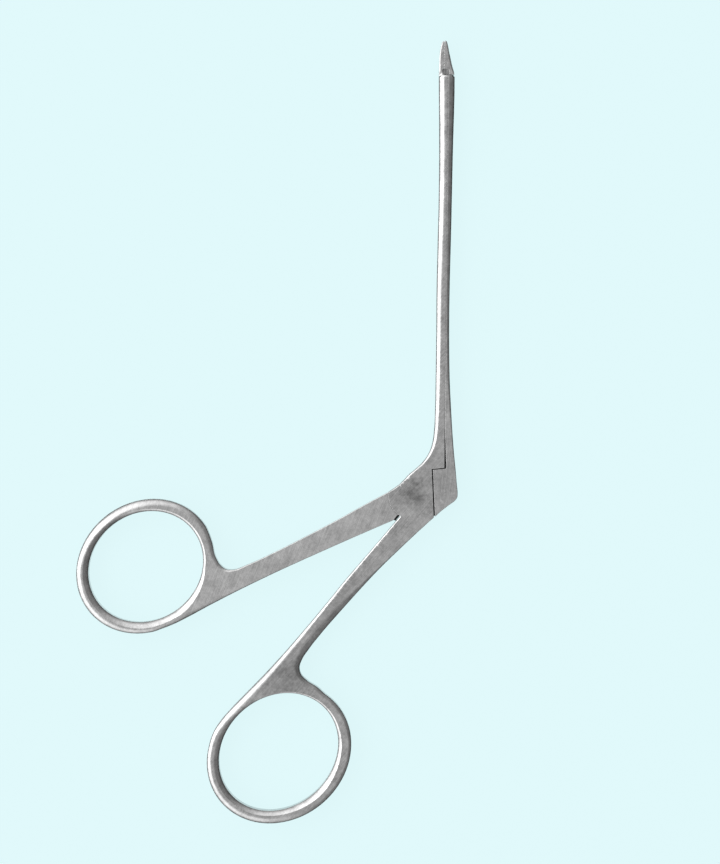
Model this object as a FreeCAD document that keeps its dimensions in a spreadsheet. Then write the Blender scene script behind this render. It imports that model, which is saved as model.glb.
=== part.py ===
import FreeCAD, Part
import math
import os
import re
import Sketcher
from FreeCAD import Vector

# Alligator ear forceps, in millimetres and degrees.
# The instrument lies on its side: Z is its thickness and +Y runs along the shaft to the jaw tip.
# Every outline is drawn about the handle pivot, on a plane in mid thickness, with the jaws closed.
# Points of a handle arm are given along the arm's axis from the pivot, and across it.

SIZES = [
    ("body_thickness", 4.0, "body, handle arms and ring bands, across the flat"),
    ("ring_bevel", 0.6, "bevel along the rims of both ring bands"),
    ("slot_width", 1.6, "slot between the cheeks of the body and of the slide block"),
    ("tongue_side_gap", 0.05, "running gap on each side of the handle tongue"),
    ("cheek_radius", 4.1, "round end of the cheeks, about the handle pivot"),
    ("cheek_top_angle", 169.0, "where the round end meets the upper edge of the body"),
    ("cheek_low_angle", 243.2, "where the round end meets the rear arm"),
    ("shoulder_gap", 0.08, "gap between the cheeks and the handle shoulder"),
    ("slot_floor_gap", 0.15, "how far the slot reaches past the round end of the cheeks"),
    ("slot_mouth", 6.4, "height of the slot where the tongue leaves it for the slide block"),
    ("brow_x", -2.05, "break in the upper edge of the body, across"),
    ("brow_y", 2.25, "break in the upper edge of the body, along"),
    ("bend_y", 8.35, "corner where the body turns into the shaft"),
    ("bend_round", 11.0, "blend of that corner"),
    ("shaft_length", 78.7, "handle pivot to the front end of both bars"),
    ("shaft_left_x", 4.5, "left edge of the shaft behind its middle"),
    ("waist_left_x", 4.78, "left edge of the shaft at its waist"),
    ("waist_back", 18.7, "waist of the fixed bar, back from the front end"),
    ("shaft_thickness", 2.3, "both bars across the flat, in front of the taper"),
    ("taper_start_y", 9.0, "where the bars start to get thinner"),
    ("taper_end_y", 30.0, "where the bars have reached the shaft thickness"),
    ("seam_x", 6.25, "sliding face of the fixed bar"),
    ("seam_gap", 0.05, "running gap between the bars"),
    ("seam_flare", 0.3, "widening of the seam at the block"),
    ("seam_flare_y", 13.0, "where the widening starts"),
    ("stop_right_y", 5.35, "shoulder that stops the slide block, right end"),
    ("stop_left_y", 5.1, "shoulder that stops the slide block, left end"),
    ("stop_gap", 0.13, "gap at the shoulder with the jaws closed"),
    ("block_face_x", 3.85, "face of the body beside the slide block, upper end"),
    ("block_gap", 0.2, "gap between that face and the slide block"),
    ("block_corner_y", -3.95, "lower left corner of the slide block, along"),
    ("heel_x", 8.83, "lower right corner of the slide block, across"),
    ("heel_y", -0.35, "lower right corner of the slide block, along"),
    ("heel_round", 1.2, "rounding of that corner"),
    ("bar_shoulder_x", 8.03, "right edge of the slide bar above the block"),
    ("bar_shoulder_y", 8.0, "height of that point"),
    ("bar_neck_x", 7.66, "right edge of the slide bar at the end of the flare"),
    ("bar_neck_y", 12.0, "height of that point"),
    ("bar_waist_x", 6.93, "right edge of the slide bar at its waist"),
    ("bar_waist_y", 27.0, "start of the waist"),
    ("bar_swell_back", 40.7, "end of the waist, back from the front end"),
    ("bar_front_x", 7.56, "right edge of the slide bar at the front end"),
    ("rear_arm_angle", 229.2, "direction of the rear handle arm from the pivot"),
    ("rear_root_at", 0.15, "outer edge of the rear arm at the slide block, along"),
    ("rear_root", 5.87, "outer edge of the rear arm at the slide block, across"),
    ("rear_hip_at", 18.0, "end of the hollow below the body, along"),
    ("rear_hip", 4.42, "end of the hollow below the body, across"),
    ("rear_hip_round", 220.0, "radius of that hollow"),
    ("rear_flare_back", 25.3, "start of the flare to the rear ring, back from the ring"),
    ("rear_flare", 4.34, "outer edge at the start of the flare"),
    ("rear_flare_round", 61.0, "radius of the flare"),
    ("rear_crotch_back", 15.8, "start of the crotch of the rear ring, back from the ring"),
    ("rear_crotch", 4.95, "outer edge at the start of the crotch"),
    ("rear_crotch_end_back", 13.75, "end of the crotch, back from the ring"),
    ("rear_crotch_end", 6.95, "end of the crotch, across"),
    ("rear_inner_at", 20.0, "start of the bow of the inner edge, along"),
    ("rear_inner", 1.18, "start of the bow of the inner edge, across"),
    ("rear_inner_past", 0.8, "end of the bow inside the ring band, past the ring's centre"),
    ("rear_inner_end", 1.25, "end of the bow, across"),
    ("rear_inner_round", 400.0, "radius of the bow"),
    ("rear_ring_at", 52.27, "centre of the rear ring, along its arm"),
    ("rear_ring_aside", 13.28, "centre of the rear ring, across its arm"),
    ("rear_ring_tilt", 38.7, "direction of the ring's long axis"),
    ("rear_hole_long", 11.91, "half the long axis of the rear ring hole"),
    ("rear_hole_short", 10.18, "half the short axis of the rear ring hole"),
    ("rear_hole_tilt", 43.3, "direction of the hole's long axis"),
    ("rear_hole_back", 0.16, "hole of the rear ring, back from the ring's centre"),
    ("rear_hole_aside", -0.27, "hole of the rear ring, across from the ring's centre"),
    ("rear_band_long", 2.24, "band of the rear ring at the ends of its long axis"),
    ("rear_band_short", 2.15, "band of the rear ring beside it"),
    ("rear_join_start", 20.0, "place on the band where the arm's end starts, on the crotch side"),
    ("rear_join_end", 103.0, "place on the band where the arm's end stops, on the inner side"),
    ("rear_join_round", 13.6, "radius of the arm's end inside the band"),
    ("finger_arm_angle", 206.55, "direction of the finger handle arm from the pivot"),
    ("finger_root_half", 2.5, "upper edge of the arm at its shoulder"),
    ("finger_low_angle", 23.4, "where the shoulder leaves the round end, from the arm's axis"),
    ("finger_corner_at", 4.85, "lower corner of the shoulder, along"),
    ("finger_corner", 2.62, "lower corner of the shoulder, across"),
    ("finger_lower_round", 600.0, "radius of the hollow lower edge"),
    ("finger_lower_past", 2.0, "end of the lower edge inside the ring band, past the ring's centre"),
    ("finger_lower_end", 1.78, "end of the lower edge, across"),
    ("finger_neck_at", 14.0, "start of the waist of the upper edge, along"),
    ("finger_neck", 1.99, "start of the waist of the upper edge, across"),
    ("finger_waist_round", 190.0, "radius of the waist"),
    ("finger_crotch_back", 15.0, "start of the crotch of the finger ring, back from the ring"),
    ("finger_crotch", 2.05, "upper edge at the start of the crotch"),
    ("finger_crotch_end_back", 12.6, "end of the crotch, back from the ring"),
    ("finger_crotch_end", 4.2, "end of the crotch, across"),
    ("finger_ring_at", 50.2, "centre of the finger ring, along its arm"),
    ("finger_ring_aside", -9.95, "centre of the finger ring, across its arm"),
    ("finger_ring_tilt", 38.5, "direction of the ring's long axis"),
    ("finger_hole_long", 11.14, "half the long axis of the finger ring hole"),
    ("finger_hole_short", 9.93, "half the short axis of the finger ring hole"),
    ("finger_hole_tilt", 37.0, "direction of the hole's long axis"),
    ("finger_hole_back", 0.02, "hole of the finger ring, back from the ring's centre"),
    ("finger_hole_aside", 0.09, "hole of the finger ring, across from the ring's centre"),
    ("finger_band_long", 2.35, "band of the finger ring at the ends of its long axis"),
    ("finger_band_short", 2.01, "band of the finger ring beside it"),
    ("finger_join_start", -103.0, "place on the band where the arm's end starts, on the lower side"),
    ("finger_join_end", -27.0, "place on the band where the arm's end stops, on the crotch side"),
    ("finger_join_round", 13.0, "radius of the arm's end inside the band"),
    ("rear_crotch_round", 2.43, "radius of the crotch of the rear ring"),
    ("finger_crotch_round", 2.58, "radius of the crotch of the finger ring"),
    ("hub_radius", 2.45, "tongue of the finger handle round the pivot screw"),
    ("tongue_root", 1.2, "length of the tongue inside the arm"),
    ("tongue_edge", 0.3, "how far the tongue stays inside the edges of the arm"),
    ("opening_angle", 11.0, "swing of the finger handle from closed to open"),
    ("drive_arm", 6.4, "pivot screw to slide drive pin"),
    ("nose_radius", 1.35, "end of the tongue round the slide drive pin"),
    ("nose_room", 0.25, "free room in front of the nose in the slide block"),
    ("fork_low_y", -2.2, "lower end of the slot in the slide block"),
    ("fork_high_y", 3.2, "upper end of the slot in the slide block"),
    ("screw_radius", 1.2, "shank of the pivot screw"),
    ("screw_head_radius", 2.1, "head of the pivot screw"),
    ("screw_head_height", 0.75, "depth of the head in the cheek"),
    ("driver_slot_width", 0.5, "driver slot in the screw head"),
    ("driver_slot_depth", 0.4, "depth of the driver slot"),
    ("drive_pin_radius", 0.7, "slide drive pin"),
    ("body_pin_skin", 0.3, "metal left over the screw and the slide drive pin"),
    ("held_gap", 0.005, "gap round a screw or pin where it is held"),
    ("running_gap", 0.02, "gap round a screw or pin where a piece turns on it"),
    ("slot_play", 0.06, "length added to each end of a slot that a pin slides in"),
    ("jaw_pivot_x", 5.70, "jaw pivot pin, across"),
    ("jaw_pivot_back", 1.6, "jaw pivot pin, back from the front end"),
    ("jaw_pin_radius", 0.35, "jaw pivot pin"),
    ("jaw_drive_x", 6.85, "jaw drive pin, across"),
    ("jaw_drive_radius", 0.28, "jaw drive pin"),
    ("jaw_pin_skin", 0.15, "metal left over the two jaw pins"),
    ("tang_width", 1.1, "thickness of the jaw tang"),
    ("tang_side_gap", 0.03, "running gap on each side of the tang"),
    ("tang_hub_radius", 0.68, "tang round the jaw pivot pin"),
    ("tail_half_width", 0.55, "half width of the tail round the jaw drive pin"),
    ("tail_wall", 0.17, "metal past the drive slot"),
    ("jaw_fork_floor_x", 4.97, "floor of the slot in the fixed bar behind the tang"),
    ("jaw_fork_length", 2.8, "slots for the tang, back from the front end"),
    ("arch_left_x", 5.2, "left side of the open arch in front of the bars"),
    ("arch_right_x", 6.5, "right side of the open arch"),
    ("arch_height", 1.2, "top of the open arch, from the front end"),
    ("arch_corner", 0.35, "corners of the open arch"),
    ("jaw_length", 6.5, "front end of the bars to the jaw tip"),
    ("parting_x", 5.6, "biting face of the fixed jaw"),
    ("bite_gap", 0.05, "gap between the closed jaws"),
    ("jaw_back_x", 4.6, "back of the fixed jaw"),
    ("jaw_back_length", 3.5, "straight part of that back"),
    ("jaw_nose_x", 4.95, "back of the fixed jaw near the tip"),
    ("jaw_nose_back", 0.9, "that point, back from the tip"),
    ("jaw_nose_round", 0.9, "round tip of the fixed jaw"),
    ("jaw_root_x", 7.42, "right edge of the moving jaw at its root"),
    ("jaw_root_gap", 0.3, "gap between the slide bar and the moving jaw"),
    ("blade_mid_x", 6.66, "right edge of the moving jaw in its middle"),
    ("blade_mid_length", 3.4, "that point, from the front end"),
    ("blade_nose_x", 6.18, "right edge of the moving jaw near the tip"),
    ("blade_nose_back", 0.7, "that point, back from the tip"),
    ("blade_nose_round", 0.7, "round tip of the moving jaw"),
    ("jaw_root_width", 1.6, "jaws across the flat at the root"),
    ("jaw_tip_width", 1.0, "jaws across the flat at the tip"),
    ("tooth_pitch", 0.4, "spacing of the grooves across the biting faces"),
    ("tooth_half", 0.14, "half the width of a groove"),
    ("tooth_depth", 0.14, "depth of a groove"),
    ("tooth_start", 0.7, "first groove, from the top of the arch"),
    ("tooth_count", 10, "number of grooves in each jaw"),
    ("lug_back", 15.7, "front of the guide lug, back from the front end"),
    ("lug_length", 3.0, "length of the guide lug"),
    ("lug_neck_width", 0.7, "neck of the guide slot"),
    ("lug_neck_depth", 0.38, "depth of the neck below the sliding face"),
    ("lug_head_width", 1.3, "head of the guide slot"),
    ("lug_head_depth", 0.42, "depth of the head below the neck"),
    ("lug_gap", 0.04, "running gap round the lug"),
    ("lug_end_gap", 0.3, "room in front of and behind the lug"),
    ("lug_entry_length", 4.3, "wide pocket that the lug enters through"),
    ("cut_margin", 1.0, "how far a cut is carried past the face that it opens"),
]

doc = FreeCAD.newDocument("EarForceps")
sheet = doc.addObject("Spreadsheet::Sheet", "Sizes")
NAMES = {size[0] for size in SIZES}


def fill_sheet():
    """Name, value and meaning of every driving size, one row each."""
    for row, (name, number, note) in enumerate(SIZES, start=1):
        sheet.set("A%d" % row, name)
        sheet.set("B%d" % row, str(number))
        sheet.set("C%d" % row, note)
        sheet.setAlias("B%d" % row, name)
    doc.recompute()


def formula(text):
    """Turn plain size names into references to the sheet."""
    return re.sub(r"[a-z]\w*", lambda word: "Sizes." * (word.group() in NAMES) + word.group(), str(text))


def value(text):
    """Present value of a formula."""
    return float(sheet.evalExpression(formula(text)))


def bind(thing, place, text):
    thing.setExpression(place, formula(text))


def turned(along, across, angle):
    """Point given along and across an axis through the pivot."""
    x = "(%s)*cos(%s)-(%s)*sin(%s)" % (along, angle, across, angle)
    y = "(%s)*sin(%s)+(%s)*cos(%s)" % (along, angle, across, angle)
    return x, y


def ring_centre(name):
    return turned(name + "_ring_at", name + "_ring_aside", name + "_arm_angle")


def ring_reach(name, first, second):
    """Half the extent of a tilted ring in one direction."""
    long_part = "((%s_hole_long+%s_band_long)*%s(%s_ring_tilt))^2" % (name, name, first, name)
    short_part = "((%s_hole_short+%s_band_short)*%s(%s_ring_tilt))^2" % (name, name, second, name)
    return "sqrt(%s+%s)" % (long_part, short_part)


# Two points closer together than this are the same point.
MATCH = 0.0001

TIP_Y = "shaft_length+jaw_length"
ARCH_TOP = "shaft_length+arch_height"
JAW_FORK_REAR = "shaft_length-jaw_fork_length"
JAW_PIVOT_Y = "shaft_length-jaw_pivot_back"
ROOT_Y = "shaft_length+jaw_root_gap"
TONGUE_WIDTH = "slot_width-2*tongue_side_gap"
SHOULDER_RADIUS = "(cheek_radius+shoulder_gap)"
HALF_TRAVEL = "drive_arm*sin(opening_angle/2)"
DRIVE_PIN_X = "drive_arm*cos(opening_angle/2)"
SLIDE_DRIVE = (DRIVE_PIN_X, HALF_TRAVEL)
JAW_RISE = "(jaw_drive_x-jaw_pivot_x)"
JAW_PIVOT = ("jaw_pivot_x", JAW_PIVOT_Y)
JAW_DRIVE = ("jaw_drive_x", JAW_PIVOT_Y + "+" + HALF_TRAVEL)
JAW_HALF_SWING = "atan((%s)/%s)" % (HALF_TRAVEL, JAW_RISE)
TANG_SLOT = "tang_width+2*tang_side_gap"
LUG_FRONT = "shaft_length-lug_back"
LUG_REAR = LUG_FRONT + "-lug_length"
GUIDE_FRONT = LUG_FRONT + "+lug_end_gap"
GUIDE_REAR = LUG_REAR + "-lug_end_gap-2*" + HALF_TRAVEL
SLIDE_FACE = "seam_x+seam_gap"

# The origin is the middle of the whole outline, on the surface that the instrument lies on.
LEFT_END = ring_centre("finger")[0] + "-" + ring_reach("finger", "cos", "sin")
LOW_END = ring_centre("rear")[1] + "-" + ring_reach("rear", "sin", "cos")
HEEL_LEAN = "atan((heel_x-bar_shoulder_x)/(bar_shoulder_y-heel_y))"
RIGHT_END = "heel_x-heel_round*tan(%s)/2" % HEEL_LEAN
PIVOT_X = "-(%s+%s)/2" % (LEFT_END, RIGHT_END)
PIVOT_Y = "-(%s+%s)/2" % (LOW_END, TIP_Y)


def new_body(name, x="0", y="0"):
    """Body whose own origin lies at a point given from the handle pivot, in mid thickness."""
    body = doc.addObject("PartDesign::Body", name)
    body.Label = name
    bind(body, "Placement.Base.x", "%s+%s" % (PIVOT_X, x))
    bind(body, "Placement.Base.y", "%s+%s" % (PIVOT_Y, y))
    bind(body, "Placement.Base.z", "body_thickness/2")
    return body


def origin_part(body, role):
    return [part for part in body.Origin.OriginFeatures if part.Role == role][0]


def new_sketch(body, name, plane="XY_Plane", level=None):
    sketch = body.newObject("Sketcher::SketchObject", name)
    sketch.AttachmentSupport = [(origin_part(body, plane), "")]
    sketch.MapMode = "FlatFace"
    if level is not None:
        bind(sketch, "AttachmentOffset.Base.z", level)
    return sketch


def fix_size(sketch, kind, piece, text):
    number = sketch.addConstraint(Sketcher.Constraint(kind, piece, value(text)))
    bind(sketch, "Constraints[%d]" % number, text)


def fix_point(sketch, piece, end, x, y):
    """Tie one end of a line or arc to its place by two formulas."""
    for kind, text in (("DistanceX", x), ("DistanceY", y)):
        number = sketch.addConstraint(Sketcher.Constraint(kind, -1, 1, piece, end, value(text)))
        bind(sketch, "Constraints[%d]" % number, text)


def arc_between(start, finish, radius):
    """Short arc between two points, bulging to the right of the way for a positive radius."""
    way = finish - start
    half = way.Length / 2
    side = Vector(way.y, -way.x, 0).normalize()
    rise = abs(radius) - math.sqrt(radius * radius - half * half)
    return Part.Arc(start, (start + finish) / 2 + side * math.copysign(rise, radius), finish)


def draw_outline(sketch, corners):
    """Closed outline. A corner is x, y and, where an arc leads on from it, the arc's radius."""
    places = [Vector(value(corner[0]), value(corner[1]), 0) for corner in corners]
    pieces = []
    for index, corner in enumerate(corners):
        start = places[index]
        finish = places[(index + 1) % len(places)]
        if len(corner) == 3:
            piece = sketch.addGeometry(arc_between(start, finish, value(corner[2])))
        else:
            piece = sketch.addGeometry(Part.LineSegment(start, finish))
        runs_back = sketch.getPoint(piece, 2).isEqual(start, MATCH)
        pieces.append((piece, 2 if runs_back else 1, 1 if runs_back else 2))
    for index, (piece, first, last) in enumerate(pieces):
        after, after_first, _ = pieces[(index + 1) % len(pieces)]
        sketch.addConstraint(Sketcher.Constraint("Coincident", piece, last, after, after_first))
    for (piece, first, last), corner in zip(pieces, corners):
        fix_point(sketch, piece, first, corner[0], corner[1])
        if len(corner) == 3:
            fix_size(sketch, "Radius", piece, "abs(%s)" % corner[2])


def draw_circle(sketch, x, y, radius):
    piece = sketch.addGeometry(Part.Circle(Vector(value(x), value(y), 0), Vector(0, 0, 1), value(radius)))
    fix_point(sketch, piece, 3, x, y)
    fix_size(sketch, "Radius", piece, radius)


def draw_ellipse(sketch, centre, long_half, short_half, tilt):
    """Ellipse held by its centre, the end of its long axis and the length of its short axis."""
    along = turned(long_half, "0", tilt)
    across = turned("0", short_half, tilt)
    end = (centre[0] + "+" + along[0], centre[1] + "+" + along[1])
    side = (centre[0] + "+" + across[0], centre[1] + "+" + across[1])
    middle, long_end, short_end = [Vector(value(x), value(y), 0) for x, y in (centre, end, side)]
    curve = sketch.addGeometry(Part.Ellipse(long_end, short_end, middle))
    sketch.exposeInternalGeometry(curve)
    long_axis = curve + 1
    short_axis = curve + 2
    far = 1 if sketch.getPoint(long_axis, 1).isEqual(long_end, MATCH) else 2
    fix_point(sketch, curve, 3, *centre)
    fix_point(sketch, long_axis, far, *end)
    fix_size(sketch, "Distance", short_axis, "2*(%s)" % short_half)


def box_corners(left, right, low, high):
    return [(left, low), (right, low), (right, high), (left, high)]


def pad(body, sketch, height):
    """Raise a sketch by half the height on each side of its plane."""
    feature = body.newObject("PartDesign::Pad", sketch.Name + "_pad")
    feature.Profile = sketch
    feature.SideType = "Symmetric"
    bind(feature, "Length", height)
    doc.recompute()


def cut(feature, sketch):
    """Finish a pocket and make sure that it takes metal away."""
    feature.Profile = sketch
    doc.recompute()
    tool = feature.AddSubShape.transformed(feature.Placement.toMatrix())
    if not feature.BaseFeature.Shape.common(tool).Volume > 0:
        raise RuntimeError(feature.Name + " cuts nothing")
    return feature


def pocket(body, sketch, depth=None):
    """Cut a sketch out on both sides of its plane, right through where no depth is given."""
    feature = body.newObject("PartDesign::Pocket", sketch.Name + "_pocket")
    feature.SideType = "Symmetric"
    if depth is None:
        feature.Type = "ThroughAll"
    else:
        bind(feature, "Length", depth)
    return cut(feature, sketch)


def bore(body, name, centre, radius, thickness, depth):
    """Round hole from the underside of a given thickness, blind on the other side."""
    sketch = new_sketch(body, name, level="-%s/2" % thickness)
    draw_circle(sketch, *centre, radius)
    feature = body.newObject("PartDesign::Pocket", name + "_bore")
    feature.Reversed = True
    bind(feature, "Length", depth)
    return cut(feature, sketch)


def pin_slot(body, name, point, start, finish, radius):
    """Round-ended slot along an axis, between two places on it that point() turns into x, y."""
    for end, place in (("start", start), ("finish", finish)):
        sketch = new_sketch(body, "%s_%s" % (name, end))
        draw_circle(sketch, *point(place, "0"), radius)
        pocket(body, sketch)
    sketch = new_sketch(body, name + "_middle")
    back = "-1*(%s)" % radius
    draw_outline(sketch, [
        point(start, radius),
        point(start, back),
        point(finish, back),
        point(finish, radius),
    ])
    pocket(body, sketch)


def dress_edges(body, kind, name, amount, chosen):
    """Fillet or bevel the edges that the test picks out."""
    base = body.Tip
    names = ["Edge%d" % number for number, edge in enumerate(base.Shape.Edges, start=1) if chosen(edge)]
    if not names:
        raise RuntimeError(name + " finds no edge")
    feature = body.newObject("PartDesign::" + kind, name)
    feature.Base = (base, names)
    bind(feature, "Radius" if kind == "Fillet" else "Size", amount)
    doc.recompute()


def is_level(edge):
    """True for an edge of the top or the underside."""
    return edge.BoundBox.ZLength < edge.Length / 2


def upright_at(x, y):
    """Test for the upright edge at a corner of an outline."""
    place = Vector(value(x), value(y), 0)

    def test(edge):
        middle = edge.CenterOfMass
        return not is_level(edge) and Vector(middle.x, middle.y, 0).isEqual(place, MATCH)

    return test


def thin_to(body, name, stations):
    """Take the body down to a half thickness that is given at places along the shaft."""
    low, high = stations[0][0], stations[-1][0]
    sketch = new_sketch(body, name, plane="YZ_Plane")
    for sign in ("", "-1*"):
        corners = [(along, "%s(%s)" % (sign, half)) for along, half in stations]
        corners += [(high, sign + "body_thickness"), (low, sign + "body_thickness")]
        draw_outline(sketch, corners)
    pocket(body, sketch)


def add_ring(body, name):
    """Band of a finger ring round an oval hole, at the end of its arm, with all four rims bevelled."""
    ring = new_sketch(body, name + "_ring")
    long_half = "%s_hole_long+%s_band_long" % (name, name)
    short_half = "%s_hole_short+%s_band_short" % (name, name)
    draw_ellipse(ring, ring_centre(name), long_half, short_half, name + "_ring_tilt")
    along = "%s_ring_at-%s_hole_back" % (name, name)
    across = "%s_ring_aside+%s_hole_aside" % (name, name)
    centre = turned(along, across, name + "_arm_angle")
    draw_ellipse(ring, centre, name + "_hole_long", name + "_hole_short", name + "_hole_tilt")
    pad(body, ring, "body_thickness")
    dress_edges(body, "Chamfer", name + "_rims", "ring_bevel", is_level)


def band_point(name, place, *radius):
    """Point in the middle of a ring's band, at an angle from its long axis as on an oval."""
    long_half = "(%s_hole_long+%s_band_long/2)*cos(%s)" % (name, name, place)
    short_half = "(%s_hole_short+%s_band_short/2)*sin(%s)" % (name, name, place)
    x, y = turned(long_half, short_half, name + "_ring_tilt")
    centre = ring_centre(name)
    return (centre[0] + "+" + x, centre[1] + "+" + y) + radius


def cut_teeth(body, face, side):
    """Row of grooves across a biting face, cut to the given side of it."""
    sketch = new_sketch(body, "tooth")
    out = "%s-(%d)*tooth_depth" % (face, side)
    deep = "%s+(%d)*tooth_depth" % (face, side)
    first = ARCH_TOP + "+tooth_start"
    draw_outline(sketch, [(out, first + "-2*tooth_half"), (out, first + "+2*tooth_half"), (deep, first)])
    groove = pocket(body, sketch)
    row = body.newObject("PartDesign::LinearPattern", "teeth")
    row.Originals = [groove]
    row.Direction = (origin_part(body, "Y_Axis"), [""])
    bind(row, "Length", "(tooth_count-1)*tooth_pitch")
    bind(row, "Occurrences", "tooth_count")
    body.Tip = row
    doc.recompute()
    if not len(row.Shape.Faces) > len(groove.Shape.Faces):
        raise RuntimeError("the row of teeth cuts nothing")


def rear_arm_corners():
    """Edges of the rear arm, from the slide block round its ring's crotch and back up the inner edge."""
    def point(along, across, *radius):
        return turned(along, across, "rear_arm_angle") + radius

    return [
        point("rear_root_at", "rear_root", "rear_hip_round"),
        point("rear_hip_at", "rear_hip"),
        point("rear_ring_at-rear_flare_back", "rear_flare", "rear_flare_round"),
        point("rear_ring_at-rear_crotch_back", "rear_crotch", "rear_crotch_round"),
        point("rear_ring_at-rear_crotch_end_back", "rear_crotch_end"),
        band_point("rear", "rear_join_start", "rear_join_round"),
        band_point("rear", "rear_join_end"),
        point("rear_ring_at+rear_inner_past", "rear_inner_end", "rear_inner_round"),
        point("rear_inner_at", "rear_inner"),
    ]


def rear_handle_frame():
    """Fixed half: rear ring, arm, slotted body, fixed bar with its guide slot, fixed jaw."""
    body = new_body("rear_handle_frame")
    add_ring(body, "rear")
    outline = new_sketch(body, "frame_outline")
    draw_outline(outline, [
        ("cheek_radius*cos(cheek_low_angle)", "cheek_radius*sin(cheek_low_angle)", "-1*cheek_radius"),
        ("cheek_radius*cos(cheek_top_angle)", "cheek_radius*sin(cheek_top_angle)"),
        ("brow_x", "brow_y"),
        ("shaft_left_x", "bend_y"),
        ("waist_left_x", "shaft_length-waist_back"),
        ("jaw_back_x", "shaft_length"),
        ("jaw_back_x", "shaft_length+jaw_back_length"),
        ("jaw_nose_x", TIP_Y + "-jaw_nose_back", "-1*jaw_nose_round"),
        ("parting_x", TIP_Y),
        ("parting_x", ARCH_TOP),
        ("arch_left_x+arch_corner", ARCH_TOP),
        ("arch_left_x", ARCH_TOP + "-arch_corner"),
        ("arch_left_x", "shaft_length"),
        ("seam_x", "shaft_length"),
        ("seam_x", "stop_right_y"),
        ("block_face_x", "stop_left_y"),
    ] + rear_arm_corners())
    pad(body, outline, "body_thickness")
    dress_edges(body, "Fillet", "bend_blend", "bend_round", upright_at("shaft_left_x", "bend_y"))
    thin_to(body, "frame_taper", [
        ("taper_start_y", "body_thickness/2"),
        ("taper_end_y", "shaft_thickness/2"),
        ("shaft_length", "shaft_thickness/2"),
        (ARCH_TOP, "jaw_root_width/2"),
        (TIP_Y, "jaw_tip_width/2"),
    ])

    slot = new_sketch(body, "tongue_slot")
    draw_circle(slot, "0", "0", "cheek_radius+slot_floor_gap")
    pocket(body, slot, "slot_width")
    mouth = new_sketch(body, "tongue_slot_mouth")
    draw_outline(mouth, box_corners("0", "seam_x", "-slot_mouth/2", "slot_mouth/2"))
    pocket(body, mouth, "slot_width")
    pivot = ("0", "0")
    depth = "body_thickness-body_pin_skin"
    bore(body, "screw_shank", pivot, "screw_radius+held_gap", "body_thickness", depth)
    head = "screw_head_radius+held_gap"
    bore(body, "screw_head", pivot, head, "body_thickness", "screw_head_height")
    cut_guide(body)
    fork = new_sketch(body, "jaw_fork")
    draw_outline(fork, box_corners("jaw_fork_floor_x", "seam_x+cut_margin", JAW_FORK_REAR, ARCH_TOP))
    pocket(body, fork, TANG_SLOT)
    depth = "shaft_thickness-jaw_pin_skin"
    bore(body, "jaw_pivot", JAW_PIVOT, "jaw_pin_radius+held_gap", "shaft_thickness", depth)
    cut_teeth(body, "parting_x", -1)


def cut_guide(body):
    """T-shaped guide slot for the lug of the slide bar, with the wide pocket that it enters through."""
    floor = "seam_x-lug_neck_depth-lug_head_depth"
    neck = new_sketch(body, "guide_neck")
    draw_outline(neck, box_corners("seam_x-lug_neck_depth", "seam_x+cut_margin", GUIDE_REAR, GUIDE_FRONT))
    pocket(body, neck, "lug_neck_width")
    head = new_sketch(body, "guide_head")
    draw_outline(head, box_corners(floor, "seam_x-lug_neck_depth", GUIDE_REAR, GUIDE_FRONT))
    pocket(body, head, "lug_head_width")
    entry = new_sketch(body, "guide_entry")
    draw_outline(entry, box_corners(floor, "seam_x+cut_margin", GUIDE_REAR + "-lug_entry_length", GUIDE_REAR))
    pocket(body, entry, "lug_head_width")


def finger_handle():
    """Lever: finger ring, arm with its round shoulder, thin tongue with the nose for the drive pin."""
    body = new_body("finger_handle")
    add_ring(body, "finger")

    def point(along, across, *radius):
        return turned(along, across, "finger_arm_angle") + radius

    outline = new_sketch(body, "handle_outline")
    draw_outline(outline, [
        point("sqrt(%s^2-finger_root_half^2)" % SHOULDER_RADIUS, "-1*finger_root_half", SHOULDER_RADIUS),
        point("%s*cos(finger_low_angle)" % SHOULDER_RADIUS, "%s*sin(finger_low_angle)" % SHOULDER_RADIUS),
        point("finger_corner_at", "finger_corner", "finger_lower_round"),
        point("finger_ring_at+finger_lower_past", "finger_lower_end"),
        band_point("finger", "finger_join_start", "finger_join_round"),
        band_point("finger", "finger_join_end"),
        point("finger_ring_at-finger_crotch_end_back", "-1*finger_crotch_end", "finger_crotch_round"),
        point("finger_ring_at-finger_crotch_back", "-1*finger_crotch", "finger_waist_round"),
        point("finger_neck_at", "-1*finger_neck"),
    ])
    pad(body, outline, "body_thickness")
    root = SHOULDER_RADIUS + "+tongue_root"
    half = "(finger_root_half-tongue_edge)"
    tongue = new_sketch(body, "tongue")
    draw_outline(tongue, [
        point(root, "-1*" + half),
        point(root, half),
        point("0", "hub_radius"),
        point("0", "-1*hub_radius"),
    ])
    pad(body, tongue, TONGUE_WIDTH)
    hub = new_sketch(body, "hub")
    draw_circle(hub, "0", "0", "hub_radius")
    pad(body, hub, TONGUE_WIDTH)

    def nose_point(along, across):
        return turned(along, across, "opening_angle/2")

    nose = new_sketch(body, "nose")
    draw_outline(nose, [
        nose_point("0", "hub_radius"),
        nose_point("0", "-1*hub_radius"),
        nose_point("drive_arm", "-1*nose_radius"),
        nose_point("drive_arm", "nose_radius"),
    ])
    pad(body, nose, TONGUE_WIDTH)
    end = new_sketch(body, "nose_end")
    draw_circle(end, *SLIDE_DRIVE, "nose_radius")
    pad(body, end, TONGUE_WIDTH)
    hole = new_sketch(body, "pivot_hole")
    draw_circle(hole, "0", "0", "screw_radius+running_gap")
    pocket(body, hole)
    near = DRIVE_PIN_X + "-slot_play"
    pin_slot(body, "drive_slot", nose_point, near, "drive_arm+slot_play", "drive_pin_radius+running_gap")


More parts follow.
